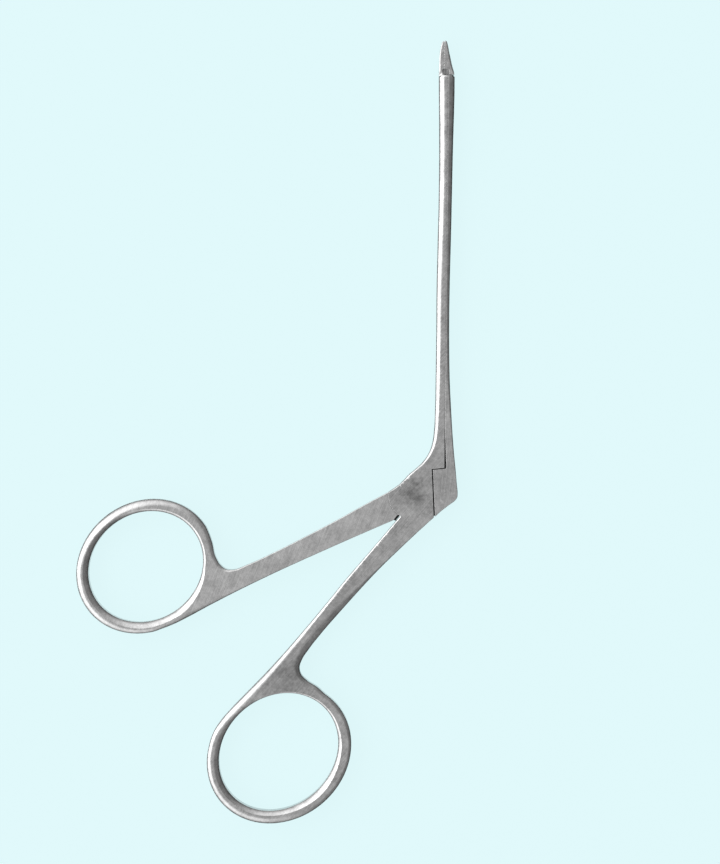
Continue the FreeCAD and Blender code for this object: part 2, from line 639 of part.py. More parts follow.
def slide_bar():
    """Sliding half of the shaft: forked block, bar, guide lug, fork for the jaw."""
    body = new_body("slide_bar")
    face_lean = "(%s-block_face_x)" % turned("rear_root_at", "rear_root", "rear_arm_angle")[0]
    outline = new_sketch(body, "bar_outline")
    draw_outline(outline, [
        ("block_face_x+block_gap", "stop_left_y-stop_gap"),
        ("block_face_x+block_gap+" + face_lean, "block_corner_y"),
        ("heel_x", "heel_y"),
        ("bar_shoulder_x", "bar_shoulder_y"),
        ("bar_neck_x", "bar_neck_y"),
        ("bar_waist_x", "bar_waist_y"),
        ("bar_waist_x", "shaft_length-bar_swell_back"),
        ("bar_front_x", "shaft_length"),
        (SLIDE_FACE, "shaft_length"),
        (SLIDE_FACE, "seam_flare_y"),
        (SLIDE_FACE + "+seam_flare", "stop_right_y-stop_gap"),
    ])
    pad(body, outline, "body_thickness")
    dress_edges(body, "Fillet", "heel_blend", "heel_round", upright_at("heel_x", "heel_y"))
    thin_to(body, "bar_taper", [
        ("taper_start_y", "body_thickness/2"),
        ("taper_end_y", "shaft_thickness/2"),
        ("shaft_length+cut_margin", "shaft_thickness/2"),
    ])
    neck_floor = "seam_x-lug_neck_depth-lug_gap"
    neck = new_sketch(body, "lug_neck")
    draw_outline(neck, box_corners(neck_floor, SLIDE_FACE + "+seam_gap", LUG_REAR, LUG_FRONT))
    pad(body, neck, "lug_neck_width-2*lug_gap")
    head_floor = "seam_x-lug_neck_depth-lug_head_depth+lug_gap"
    head = new_sketch(body, "lug_head")
    draw_outline(head, box_corners(head_floor, neck_floor, LUG_REAR, LUG_FRONT))
    pad(body, head, "lug_head_width-2*lug_gap")

    fork = new_sketch(body, "block_fork")
    wall = DRIVE_PIN_X + "+nose_radius+nose_room"
    draw_outline(fork, box_corners("block_face_x-cut_margin", wall, "fork_low_y", "fork_high_y"))
    pocket(body, fork, "slot_width")
    jaw = new_sketch(body, "bar_jaw_fork")
    open_end = "shaft_length+cut_margin"
    draw_outline(jaw, box_corners("seam_x", "bar_front_x+cut_margin", JAW_FORK_REAR, open_end))
    pocket(body, jaw, TANG_SLOT)
    depth = "body_thickness-body_pin_skin"
    bore(body, "slide_drive", SLIDE_DRIVE, "drive_pin_radius+held_gap", "body_thickness", depth)
    depth = "shaft_thickness-jaw_pin_skin"
    bore(body, "jaw_drive", JAW_DRIVE, "jaw_drive_radius+held_gap", "shaft_thickness", depth)


def moving_jaw():
    """Jaw with its tang: a hub on the pivot pin and a slotted tail on the drive pin."""
    body = new_body("moving_jaw")
    face = "parting_x+bite_gap"
    far = "sqrt(%s^2+(%s)^2)" % (JAW_RISE, HALF_TRAVEL)
    reach = far + "+slot_play+jaw_drive_radius+running_gap+tail_wall-tail_half_width"

    def about_pin(along, across):
        x, y = turned(along, across, JAW_HALF_SWING)
        return "jaw_pivot_x+" + x, JAW_PIVOT_Y + "+" + y

    hub = new_sketch(body, "tang_hub")
    draw_circle(hub, *JAW_PIVOT, "tang_hub_radius")
    pad(body, hub, "tang_width")
    tail = new_sketch(body, "tail")
    draw_outline(tail, [
        about_pin("0", "-1*tail_half_width"),
        about_pin(reach, "-1*tail_half_width"),
        about_pin(reach, "tail_half_width"),
        about_pin("0", "tail_half_width"),
    ])
    pad(body, tail, "tang_width")
    tail_end = new_sketch(body, "tail_end")
    draw_circle(tail_end, *about_pin(reach, "0"), "tail_half_width")
    pad(body, tail_end, "tang_width")
    neck = new_sketch(body, "tang_neck")
    draw_outline(neck, [
        ("jaw_pivot_x-tang_hub_radius", JAW_PIVOT_Y),
        ("jaw_pivot_x-tang_hub_radius", ARCH_TOP + "-arch_corner"),
        (face, ARCH_TOP),
        ("arch_right_x", ARCH_TOP + "+arch_corner"),
        ("jaw_root_x-arch_corner", ROOT_Y),
        about_pin(reach, "0"),
        JAW_PIVOT,
    ])
    pad(body, neck, "tang_width")
    blade = new_sketch(body, "blade")
    draw_outline(blade, [
        (face, ARCH_TOP),
        (face, TIP_Y, "-1*blade_nose_round"),
        ("blade_nose_x", TIP_Y + "-blade_nose_back"),
        ("blade_mid_x", "shaft_length+blade_mid_length"),
        ("jaw_root_x", ROOT_Y),
        ("arch_right_x", ROOT_Y),
        ("arch_right_x", ARCH_TOP + "-arch_corner"),
        ("arch_right_x-arch_corner", ARCH_TOP),
    ])
    pad(body, blade, "jaw_root_width")
    thin_to(body, "blade_taper", [
        (ARCH_TOP, "jaw_root_width/2"),
        (TIP_Y, "jaw_tip_width/2"),
    ])
    hole = new_sketch(body, "pivot_hole")
    draw_circle(hole, *JAW_PIVOT, "jaw_pin_radius+running_gap")
    pocket(body, hole)
    near = JAW_RISE + "-slot_play"
    pin_slot(body, "drive_slot", about_pin, near, far + "+slot_play", "jaw_drive_radius+running_gap")
    cut_teeth(body, face, 1)


def round_pin(name, axis, steps):
    """Turned pin or screw on an upright axis, given as radius and height, from the underside up."""
    body = new_body(name, *axis)
    sketch = new_sketch(body, name + "_profile", plane="XZ_Plane")
    draw_outline(sketch, [("0", steps[0][1])] + steps + [("0", steps[-1][1])])
    turning = body.newObject("PartDesign::Revolution", name + "_turned")
    turning.Profile = sketch
    turning.ReferenceAxis = (sketch, ["V_Axis"])
    turning.Angle = 360
    doc.recompute()
    return body


def handle_pivot_screw():
    """Slotted screw, its head let into the underside of the body and its end hidden under the upper cheek."""
    low = "-body_thickness/2"
    shoulder = low + "+screw_head_height-held_gap"
    body = round_pin("handle_pivot_screw", ("0", "0"), [
        ("screw_head_radius", low),
        ("screw_head_radius", shoulder),
        ("screw_radius", shoulder),
        ("screw_radius", "body_thickness/2-body_pin_skin-held_gap"),
    ])
    slot = new_sketch(body, "driver_slot", level=low)
    reach = "(screw_head_radius+cut_margin)"
    draw_outline(slot, box_corners("-1*" + reach, reach, "-driver_slot_width/2", "driver_slot_width/2"))
    pocket(body, slot, "2*driver_slot_depth")


def straight_pin(name, axis, radius, thickness, skin):
    """Plain pin that ends under the skin left over its bore."""
    low = "-%s/2" % thickness
    high = "%s/2-%s-held_gap" % (thickness, skin)
    return round_pin(name, axis, [(radius, low), (radius, high)])


def check_document():
    """Stop where an object has failed or a sub-part is not one sound solid."""
    doc.recompute()
    for thing in doc.Objects:
        if "Invalid" in thing.State or "Error" in thing.State:
            raise RuntimeError("%s has failed" % thing.Name)
    for body in doc.findObjects("PartDesign::Body"):
        if body.Shape.isNull() or not body.Shape.isValid() or len(body.Shape.Solids) != 1:
            raise RuntimeError("%s is not one sound solid" % body.Label)


def write_parts():
    os.makedirs("parts", exist_ok=True)
    for body in doc.findObjects("PartDesign::Body"):
        body.Shape.exportStep(os.path.join("parts", body.Label + ".step"))
        print("%-20s %9.3f mm3" % (body.Label, body.Shape.Volume))


fill_sheet()
rear_handle_frame()
finger_handle()
slide_bar()
moving_jaw()
handle_pivot_screw()
straight_pin("slide_drive_pin", SLIDE_DRIVE, "drive_pin_radius", "body_thickness", "body_pin_skin")
straight_pin("jaw_pivot_pin", JAW_PIVOT, "jaw_pin_radius", "shaft_thickness", "jaw_pin_skin")
straight_pin("jaw_drive_pin", JAW_DRIVE, "jaw_drive_radius", "shaft_thickness", "jaw_pin_skin")
check_document()
write_parts()
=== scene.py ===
import math
import bpy
import numpy as np
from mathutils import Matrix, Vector, kdtree
from mathutils.geometry import delaunay_2d_cdt


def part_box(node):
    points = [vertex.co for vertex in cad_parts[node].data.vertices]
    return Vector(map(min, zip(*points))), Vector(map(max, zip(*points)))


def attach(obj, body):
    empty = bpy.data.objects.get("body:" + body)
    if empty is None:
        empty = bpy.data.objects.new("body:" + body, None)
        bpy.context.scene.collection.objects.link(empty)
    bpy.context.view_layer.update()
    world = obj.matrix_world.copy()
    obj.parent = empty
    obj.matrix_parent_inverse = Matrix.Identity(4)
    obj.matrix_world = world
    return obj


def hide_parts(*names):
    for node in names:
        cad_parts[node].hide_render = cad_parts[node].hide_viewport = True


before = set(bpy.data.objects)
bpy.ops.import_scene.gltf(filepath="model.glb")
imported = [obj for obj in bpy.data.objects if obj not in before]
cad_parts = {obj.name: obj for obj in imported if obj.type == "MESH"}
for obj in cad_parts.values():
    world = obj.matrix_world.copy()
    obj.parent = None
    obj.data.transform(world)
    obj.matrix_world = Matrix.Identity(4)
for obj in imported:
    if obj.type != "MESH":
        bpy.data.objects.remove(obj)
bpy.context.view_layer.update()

# Fixed half: rear ring, its arm, the body with the two cheeks, the fixed bar and the fixed jaw.
# One forging in stainless steel, ground along its edges, the ring rounded by hand and the whole
# brought to a satin finish. All places are in millimetres from the handle pivot.

low_corner, high_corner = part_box("handle_pivot_screw")
pivot_place = (low_corner + high_corner) / 2 * 1000
low_corner, high_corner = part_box("rear_handle_frame")
mid_height = (low_corner.z + high_corner.z) / 2 * 1000
half_body = (high_corner.z - low_corner.z) / 2 * 1000
half_shaft = 1.15
grinding_step = 0.22


def ground_line(points, rounding):
    """Smooth line through the given points in short steps, with the rounding of the rim along it."""
    p = np.array(points, float)
    r = np.broadcast_to(np.array(rounding, float), (len(p), 3))
    t = np.r_[0, np.cumsum(np.linalg.norm(np.diff(p, axis=0), axis=1))]
    s = np.linspace(0, t[-1], max(1, math.ceil(t[-1] / grinding_step)) + 1)
    if len(p) == 2:
        line = p[0] + (p[1] - p[0]) * (s / t[-1])[:, None]
    else:
        slope = np.gradient(p, t, axis=0, edge_order=2)
        k = np.clip(np.searchsorted(t, s, side="right") - 1, 0, len(t) - 2)
        span = (t[k + 1] - t[k])[:, None]
        u = (s - t[k])[:, None] / span
        line = ((2 * u**3 - 3 * u**2 + 1) * p[k] + (u**3 - 2 * u**2 + u) * span * slope[k]
                + (3 * u**2 - 2 * u**3) * p[k + 1] + (u**3 - u**2) * span * slope[k + 1])
    return line, np.column_stack([np.interp(s, t, column) for column in r.T])


def closed_edge(stretches):
    """Closed edge of a plate. A stretch is its points and how its rim is rounded.

    A rounding is its width and how far it leans, in degrees, at its inner line and at the rim.
    """
    lines = [ground_line(points, rounding) for points, rounding in stretches]
    return np.concatenate([line[:-1] for line, _ in lines]), np.concatenate([r[:-1] for _, r in lines])


def oval(centre, long_half, short_half, tilt, start, end, steps=60):
    """Points of an oval from one direction to another, as seen from its centre."""
    out = []
    for a in np.radians(np.linspace(start - tilt, end - tilt, steps)):
        e = math.atan2(math.sin(a) * long_half, math.cos(a) * short_half)
        x, y = long_half * math.cos(e), short_half * math.sin(e)
        c, s = math.cos(math.radians(tilt)), math.sin(math.radians(tilt))
        out.append((centre[0] + x * c - y * s, centre[1] + x * s + y * c))
    return out


def around(table, start, end, steps=60):
    """Rounding of a ring's rim by direction, from rows of direction, width and two leans."""
    rows = np.array(sorted(table), float)
    directions = np.linspace(start, end, steps) % 360
    columns = [np.interp(directions, rows[:, 0], column, period=360) for column in rows[:, 1:].T]
    return np.column_stack(columns)


def along_arm(angle, along, across):
    """Place on an arm, given along its axis from the pivot and across it."""
    c, s = math.cos(math.radians(angle)), math.sin(math.radians(angle))
    return along * c - across * s, along * s + across * c


def inward_sides(edges):
    """Directions from the steps of each edge into the metal."""
    sides = []
    for number, (places, _) in enumerate(edges):
        after = np.roll(places, -1, axis=0)
        way = after - places
        way /= np.linalg.norm(way, axis=1)[:, None]
        area = np.sum(places[:, 0] * after[:, 1] - places[:, 1] * after[:, 0])
        turn = 1 if (area > 0) == (number == 0) else -1
        sides.append(turn * np.column_stack([-way[:, 1], way[:, 0]]))
    return sides


patch_points = 300
steepest_lean = 0.98
blend_depth = 0.006
rim_distance = 0.02
slope_step = 0.05


def ground_face(edges, half_height):
    """Height and direction of a plate's face at any place, worn down towards its rims."""
    start = np.concatenate([places for places, _ in edges])
    way = np.concatenate([np.roll(places, -1, axis=0) - places for places, _ in edges])
    rounding = np.concatenate([r for _, r in edges])
    change = np.concatenate([np.roll(r, -1, axis=0) - r for _, r in edges])
    inward = np.concatenate(inward_sides(edges))
    length = np.sum(way * way, axis=1)
    reach = rounding[:, 0].max()
    first = np.minimum(start[:, 1], (start + way)[:, 1])
    last = np.maximum(start[:, 1], (start + way)[:, 1])

    def face(points):
        height, direction = np.zeros(len(points)), np.zeros((len(points), 3))
        order = np.argsort(points[:, 1])
        for part in np.array_split(order, max(1, len(points) // patch_points)):
            p = points[part]
            k = (last > p[:, 1].min() - reach) & (first < p[:, 1].max() + reach)
            k[0] = True
            offset = p[:, None] - start[k]
            t = np.clip(np.sum(offset * way[k], axis=2) / length[k], 0, 1)
            gap = offset - t[..., None] * way[k]
            distance = np.linalg.norm(gap, axis=2)
            width, inner, outer = np.moveaxis(rounding[k] + t[..., None] * change[k], 2, 0)
            inner, outer = np.sin(np.radians(inner)), np.sin(np.radians(outer))
            radius = width / (outer - inner)
            lean = np.clip(inner + (width - distance) / radius, 0, steepest_lean)
            depth = radius * (np.sqrt(1 - inner**2) - np.sqrt(1 - lean**2))
            taken = np.where(distance < width, depth, 0)
            deepest = taken.max(axis=1)
            share = np.exp((taken - deepest[:, None]) / blend_depth) * (taken > 0) + 1e-12
            away = gap / np.maximum(distance, 1e-6)[..., None]
            side = np.where(distance[..., None] > rim_distance, away, inward[k])
            tilt = -np.sum(side * (lean * share)[..., None], axis=1) / share.sum(axis=1)[:, None]
            tilt *= (deepest > 0)[:, None]
            rise = half_height(p[:, 1] + slope_step) - half_height(p[:, 1] - slope_step)
            tilt[:, 1] -= rise / (2 * slope_step)
            height[part] = half_height(p[:, 1]) - deepest
            up = np.sqrt(np.maximum(0.05, 1 - np.sum(tilt**2, axis=1)))
            direction[part] = np.column_stack([tilt, up])
        return height, direction

    return face


def inside(edge, points):
    """Which of the points lie inside a closed edge."""
    odd = np.zeros(len(points), bool)
    for (x0, y0), (x1, y1) in zip(edge, np.roll(edge, -1, axis=0)):
        across = (y0 > points[:, 1]) != (y1 > points[:, 1])
        with np.errstate(divide="ignore", invalid="ignore"):
            odd ^= across & (points[:, 0] < x0 + (points[:, 1] - y0) * (x1 - x0) / (y1 - y0))
    return odd


thin_rim, wide_rim = 0.12, 0.6
thin_steps = (0.5, 1.0)
even_steps = (0.1, 0.25, 0.45, 0.7, 1.0)
wide_steps = (0.04, 0.1, 0.18, 0.28, 0.39, 0.51, 0.63, 0.75, 0.88, 1.0)
mesh_cell = 0.12
sharpest_corner = 0.45


def ground_plate(name, edges, face, grain=0.8):
    """Solid plate between closed edges, both of its faces shaped by the same ground face."""
    rim = np.concatenate([places for places, _ in edges])
    width = np.concatenate([r for _, r in edges])[:, 0]
    ways = []
    for side in inward_sides(edges):
        middle = side + np.roll(side, 1, axis=0)
        middle /= np.linalg.norm(middle, axis=1)[:, None]
        ways.append(middle / np.maximum(sharpest_corner, np.sum(middle * side, axis=1))[:, None])
    way = np.concatenate(ways)
    near_rim = kdtree.KDTree(len(rim))
    for i, p in enumerate(rim):
        near_rim.insert((p[0], p[1], 0), i)
    near_rim.balance()

    flat, filled = [tuple(p) for p in rim], set()
    for i, p in enumerate(rim):
        steps = thin_steps if width[i] < thin_rim else even_steps
        if width[i] > wide_rim:
            steps = wide_steps
        for offset in [width[i] * step for step in steps] + [width[i] + 0.04]:
            x, y = p + way[i] * offset
            _, _, distance = near_rim.find((x, y, 0))
            cell = (round(x / mesh_cell), round(y / mesh_cell))
            if distance > min(0.85 * offset, 0.25) and (offset < 0.2 or cell not in filled):
                flat.append((x, y))
                filled.add(cell)
    low, high = rim.min(axis=0), rim.max(axis=0)
    for row, y in enumerate(np.arange(low[1], high[1], grain * 0.87)):
        for x in np.arange(low[0] + (row % 2) * grain / 2, high[0], grain):
            _, j, distance = near_rim.find((x, y, 0))
            if distance > width[j] + 0.3 * grain:
                flat.append((x, y))

    loops, first = [], 0
    for places, _ in edges:
        loops += [(first + i, first + (i + 1) % len(places)) for i in range(len(places))]
        first += len(places)
    made = delaunay_2d_cdt([Vector(p) for p in flat], loops, [], 1, 1e-5)
    xy = np.array([tuple(v) for v in made[0]])
    faces = made[2]
    middles = xy[np.array(faces)].mean(axis=1)
    in_hole = np.zeros(len(faces), bool)
    for places, _ in edges[1:]:
        in_hole |= inside(places, middles)
    faces = [f for f, out in zip(faces, in_hole) if not out]
    top = face(xy)[0]
    count = len(xy)
    verts = np.r_[np.column_stack([xy, top]), np.column_stack([xy, -top])]
    polygons = [tuple(f) for f in faces] + [tuple(i + count for i in reversed(f)) for f in faces]
    used = {(a, b) for f in faces for a, b in zip(f, f[1:] + f[:1])}
    polygons += [(b, a, a + count, b + count) for a, b in sorted(used) if (b, a) not in used]
    return steel_object(name, verts, polygons)


def steel_object(name, verts, polygons):
    """Mesh in the row frame from places in millimetres about the pivot and mid height."""
    mesh = bpy.data.meshes.new(name)
    place = np.array([pivot_place.x, pivot_place.y, mid_height])
    mesh.from_pydata(((np.array(verts, float) + place) / 1000).tolist(), [], polygons)
    mesh.validate()
    made = bpy.data.objects.new(name, mesh)
    bpy.context.scene.collection.objects.link(made)
    return made


def prism(name, outline, low, high, plane="xy"):
    """Straight block over an outline, upright or, with plane xz, lying along the shaft."""
    n = len(outline)
    if plane == "xy":
        verts = [(x, y, low) for x, y in outline] + [(x, y, high) for x, y in outline]
    else:
        verts = [(x, low, z) for x, z in outline] + [(x, high, z) for x, z in outline]
    area = sum(a[0] * b[1] - a[1] * b[0] for a, b in zip(outline, outline[1:] + outline[:1]))
    polygons = [tuple(range(n))[::-1], tuple(range(n, 2 * n))]
    polygons += [(i, (i + 1) % n, (i + 1) % n + n, i + n) for i in range(n)]
    if (area < 0) != (plane == "xz"):
        polygons = [p[::-1] for p in polygons]
    return steel_object(name, verts, polygons)


def turned_piece(name, centre, steps, sides=64):
    """Round piece on an upright axis, from radius and height pairs, from the underside up."""
    verts, polygons = [], []
    for r, z in steps:
        for i in range(sides):
            a = 2 * math.pi * i / sides
            verts.append((centre[0] + r * math.cos(a), centre[1] + r * math.sin(a), z))
    for k in range(len(steps) - 1):
        for i in range(sides):
            j = (i + 1) % sides
            polygons.append((k * sides + i, k * sides + j, (k + 1) * sides + j, (k + 1) * sides + i))
    polygons.append(tuple(range(sides))[::-1])
    polygons.append(tuple(range((len(steps) - 1) * sides, len(steps) * sides)))
    return steel_object(name, verts, polygons)


def worked(piece, operation, tools):
    """Cut the tools out of a piece, or weld them on, and leave a plain mesh."""
    for tool in tools:
        change = piece.modifiers.new(tool.name, "BOOLEAN")
        change.operation = operation
        change.solver = "EXACT"
        change.object = tool
    evaluated = piece.evaluated_get(bpy.context.evaluated_depsgraph_get())
    shape = bpy.data.meshes.new_from_object(evaluated)
    piece.modifiers.clear()
    piece.data = shape
    for tool in tools:
        bpy.data.objects.remove(tool)
    return piece


sharp_from = 32
same_height = 0.004
least_up = 0.35


def finished(piece, material, body, slot, *nodes, face=None):
    """Give a piece its shading, its steel and its place in the instrument."""
    mesh = piece.data
    mesh.polygons.foreach_set("use_smooth", [True] * len(mesh.polygons))
    mesh.set_sharp_from_angle(angle=math.radians(sharp_from))
    mesh.materials.clear()
    mesh.materials.append(material)
    if face:
        places = np.empty(len(mesh.vertices) * 3)
        mesh.vertices.foreach_get("co", places)
        places = places.reshape(-1, 3) * 1000 - (pivot_place.x, pivot_place.y, mid_height)
        corner, up = np.empty(len(mesh.loops), int), np.empty(len(mesh.polygons) * 3)
        mesh.loops.foreach_get("vertex_index", corner)
        mesh.polygons.foreach_get("normal", up)
        up = np.repeat(up.reshape(-1, 3)[:, 2], [polygon.loop_total for polygon in mesh.polygons])
        height, direction = face(places[:, :2])
        ground = (abs(abs(places[:, 2]) - height) < same_height)[corner] & (abs(up) > least_up)
        normals = direction[corner] * np.column_stack([np.ones((len(up), 2)), np.sign(up)])
        normals[~ground] = 0
        mesh.normals_split_custom_set(normals.tolist())
    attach(piece, body)
    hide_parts(*nodes)


def satin_steel(name, grey, rough, brush_angle, brush_strength, dark_patches=()):
    """Satin stainless steel: cloudy hand polish, fine brush lines in one direction, stray scratches.

    The scales of the patterns are waves per metre. A dark patch is its place, its reach in
    millimetres and how much darker its middle is; the patches at the jaw's root are painted shade.
    """
    material = bpy.data.materials.new(name)
    material.use_nodes = True
    nodes, links = material.node_tree.nodes, material.node_tree.links
    steel = nodes["Principled BSDF"]
    steel.inputs["Metallic"].default_value = 1.0
    place = nodes.new("ShaderNodeTexCoord")

    def noise(scale, detail, stretch=None, angle=0.0):
        source = place.outputs["Object"]
        if stretch:
            turn = nodes.new("ShaderNodeMapping")
            turn.inputs["Rotation"].default_value = (0, 0, -math.radians(angle))
            links.new(source, turn.inputs["Vector"])
            pull = nodes.new("ShaderNodeMapping")
            pull.inputs["Scale"].default_value = stretch
            links.new(turn.outputs["Vector"], pull.inputs["Vector"])
            source = pull.outputs["Vector"]
        texture = nodes.new("ShaderNodeTexNoise")
        texture.inputs["Scale"].default_value = scale
        texture.inputs["Detail"].default_value = detail
        texture.inputs["Roughness"].default_value = 0.55
        links.new(source, texture.inputs["Vector"])
        return texture.outputs["Fac"]

    def ranged(value, low, high, new_low, new_high):
        scale = nodes.new("ShaderNodeMapRange")
        numbers = (low, high, new_low, new_high)
        for socket, number in zip(("From Min", "From Max", "To Min", "To Max"), numbers):
            scale.inputs[socket].default_value = number
        links.new(value, scale.inputs["Value"])
        return scale.outputs["Result"]

    def joined(operation, a, b):
        node = nodes.new("ShaderNodeMath")
        node.operation = operation
        links.new(a, node.inputs[0])
        if isinstance(b, float):
            node.inputs[1].default_value = b
        else:
            links.new(b, node.inputs[1])
        return node.outputs[0]

    clouds = ranged(noise(420, 4), 0.3, 0.7, -0.08, 0.08)
    flecks = ranged(noise(1900, 3), 0.35, 0.7, -0.06, 0.07)
    specks = ranged(noise(3600, 2), 0.7, 0.78, 0.0, 0.2)
    lines = noise(1, 3, stretch=(260, 9000, 2600), angle=brush_angle)
    cross = noise(1, 2, stretch=(420, 5200, 1800), angle=brush_angle + 52)
    brushed = ranged(lines, 0.25, 0.75, -0.09, 0.09)
    scratched = ranged(cross, 0.68, 0.76, 0.0, 0.12)
    polish_marks = joined("ADD", clouds, flecks)
    wear_marks = joined("ADD", brushed, joined("ADD", specks, scratched))
    shade = joined("ADD", joined("ADD", polish_marks, wear_marks), grey)
    # Dark patches darken the grey towards their middles; those at the jaw's root are painted shade.
    for centre, reach, change in dark_patches:
        spot = nodes.new("ShaderNodeVectorMath")
        spot.operation = "DISTANCE"
        links.new(place.outputs["Object"], spot.inputs[0])
        spot_place = (centre[0] + pivot_place.x, centre[1] + pivot_place.y, mid_height + half_body)
        spot.inputs[1].default_value = [number / 1000 for number in spot_place]
        ragged = ranged(noise(700, 3), 0.3, 0.7, -0.0009, 0.0009)
        wander = joined("ADD", spot.outputs["Value"], ragged)
        shade = joined("ADD", shade, ranged(wander, 0.0, reach / 1000, change, 0.0))
    tone = nodes.new("ShaderNodeCombineColor")
    for channel in range(3):
        links.new(shade, tone.inputs[channel])
    links.new(tone.outputs[0], steel.inputs["Base Color"])
    worn = ranged(noise(650, 3), 0.3, 0.7, rough - 0.05, rough + 0.06)
    polish = joined("ADD", ranged(lines, 0.3, 0.7, -0.05, 0.06), worn)
    links.new(polish, steel.inputs["Roughness"])
    grain = joined("ADD", joined("MULTIPLY", lines, 0.7), joined("MULTIPLY", cross, 0.3))
    relief = nodes.new("ShaderNodeBump")
    relief.inputs["Strength"].default_value = brush_strength
    relief.inputs["Distance"].default_value = 0.00002
    links.new(grain, relief.inputs["Height"])
    links.new(relief.outputs["Normal"], steel.inputs["Normal"])
    return material


def shaft_height(y):
    """Half thickness of the forging from the body to the jaw tips."""
    return np.interp(y, [9.0, 30.0, 78.4, 78.8, 79.1, 85.2],
                     [half_body, half_shaft, half_shaft, 0.98, 0.86, 0.5])


def rear(along, across):
    return along_arm(229.2, along, across)


def arc(centre, radius, start, end, steps):
    """Round part of an outline about a centre."""
    return [(centre[0] + radius * math.cos(a), centre[1] + radius * math.sin(a))
            for a in np.radians(np.linspace(start, end, steps))]


jaw_root, bite_end = 79.9, 84.95
first_tooth, tooth_pitch, tooth_depth = 80.6, 0.4, 0.14
jaw_teeth = []
for tooth in range(10):
    y = first_tooth + tooth_pitch * tooth
    jaw_teeth += [(y - tooth_depth, 0.0), (y, tooth_depth), (y + tooth_depth, 0.0)]


def toothed(face_x, upward):
    """Stretches of a biting face with its cross grooves."""
    marks = [(jaw_root, 0.0)] + jaw_teeth + [(bite_end, 0.0)]
    if not upward:
        marks = marks[::-1]
    places = [(face_x - depth, y) for y, depth in marks]
    return [([a, b], (0.03, 0, 40)) for a, b in zip(places, places[1:])]


at_pivot = (0, 0)
broken_edge = (0.05, 0, 45)
seam_edge = (0.04, 0, 40)
seam_x, bite_x, bar_end = 6.25, 5.6, 78.72
cheek = arc(at_pivot, 4.13, 243.2, 169.0, 12)
upper_edge = [cheek[-1], (-3.1, 1.42), (-2.05, 2.2)]
neck_edge = [(-2.05, 2.2), (-1.2, 3.05), (-0.3, 4.05), (0.9, 5.1), (2.1, 6.25), (3.0, 7.45),
             (3.62, 8.7), (4.05, 10.3), (4.3, 12.6), (4.44, 16.0), (4.5, 22.0), (4.54, 30.0),
             (4.52, 38.0), (4.62, 46.0), (4.75, 54.0), (4.78, 62.0), (4.72, 69.0), (4.62, 75.0),
             (4.57, 78.7)]
neck_rounding = [(0.22, 16, 45), (0.24, 16, 45), (0.28, 16, 45), (0.34, 16, 45), (0.42, 16, 45),
                 (0.5, 14, 45), (0.58, 14, 45), (0.66, 12, 45), (0.74, 12, 45), (0.8, 10, 45),
                 (0.85, 10, 45), (0.95, 8, 45), (1.1, 5, 45), (1.25, 3, 45), (1.35, 1, 45),
                 (1.45, 0, 45), (1.5, 0, 45), (1.5, 0, 45), (1.5, 0, 45)]
jaw_back = [(4.57, 78.7), (4.6, 79.6), (4.62, 81.0), (4.66, 82.2), (4.78, 83.3), (4.98, 84.3),
            (5.25, 84.98), (bite_x, 85.2)]
jaw_back_rounding = [(0.9, 0, 43), (0.35, 2, 43), (0.26, 2, 43), (0.24, 2, 43), (0.22, 2, 43),
                     (0.2, 2, 43), (0.2, 2, 43), (0.1, 2, 43)]
hip_edge = [rear(0.15, 5.87), rear(4.0, 5.43), rear(9.0, 4.96), rear(14.0, 4.58), rear(18.0, 4.44),
            rear(24.0, 4.37), rear(30.0, 4.39), rear(34.0, 4.6), rear(36.3, 4.93), rear(37.7, 5.55),
            rear(38.45, 6.6), rear(38.58, 8.1), rear(38.25, 10.6)]
hip_rounding = [(0.1, 0, 40), (0.12, 0, 40), (0.2, 0, 40), (0.4, 0, 40), (0.8, 0, 38), (1.6, 0, 36),
                (2.0, 0, 36), (1.9, 0, 38), (1.6, 0, 40), (1.3, 2, 42), (1.2, 3, 43), (1.1, 3, 43),
                (0.97, 4, 43)]
rear_ring_outside = [(0, 0.7, 4, 43), (45, 0.9, 4, 43), (90, 1.35, 4, 43), (135, 1.0, 4, 44),
                     (180, 0.8, 6, 44), (225, 1.0, 6, 44), (270, 1.15, 4, 40), (315, 0.75, 4, 40)]
rear_ring_inside = [(0, 0.75, 20, 43), (45, 0.4, 20, 43), (90, 0.22, 5, 40), (135, 0.5, 6, 42),
                    (165, 1.0, 8, 43), (200, 1.1, 12, 43), (225, 1.0, 22, 43), (270, 0.95, 24, 43),
                    (315, 1.2, 20, 42), (340, 0.95, 20, 42)]
rear_outside = oval((-24.10, -48.24), 14.14, 12.31, 38.7, 52, -186)
inner_edge = [rear_outside[-1], rear(57.2, 1.42), rear(55.0, 1.08), rear(52.0, 1.05), rear(48.0, 1.24),
              rear(43.0, 1.5), rear(38.0, 1.63), rear(32.0, 1.6), rear(26.0, 1.46), rear(20.0, 1.22),
              rear(13.0, 1.14), cheek[0]]
inner_rounding = [(0.83, 6, 44), (1.0, 4, 44), (1.3, 3, 44), (1.5, 2, 44), (1.5, 2, 44), (1.3, 3, 44),
                  (0.95, 5, 44), (0.65, 8, 44), (0.45, 12, 44), (0.34, 14, 44), (0.28, 14, 44),
                  (0.24, 16, 44)]
rear_hole = oval((-24.20, -47.94), 11.91, 10.18, 43.3, 0, 360, 90)

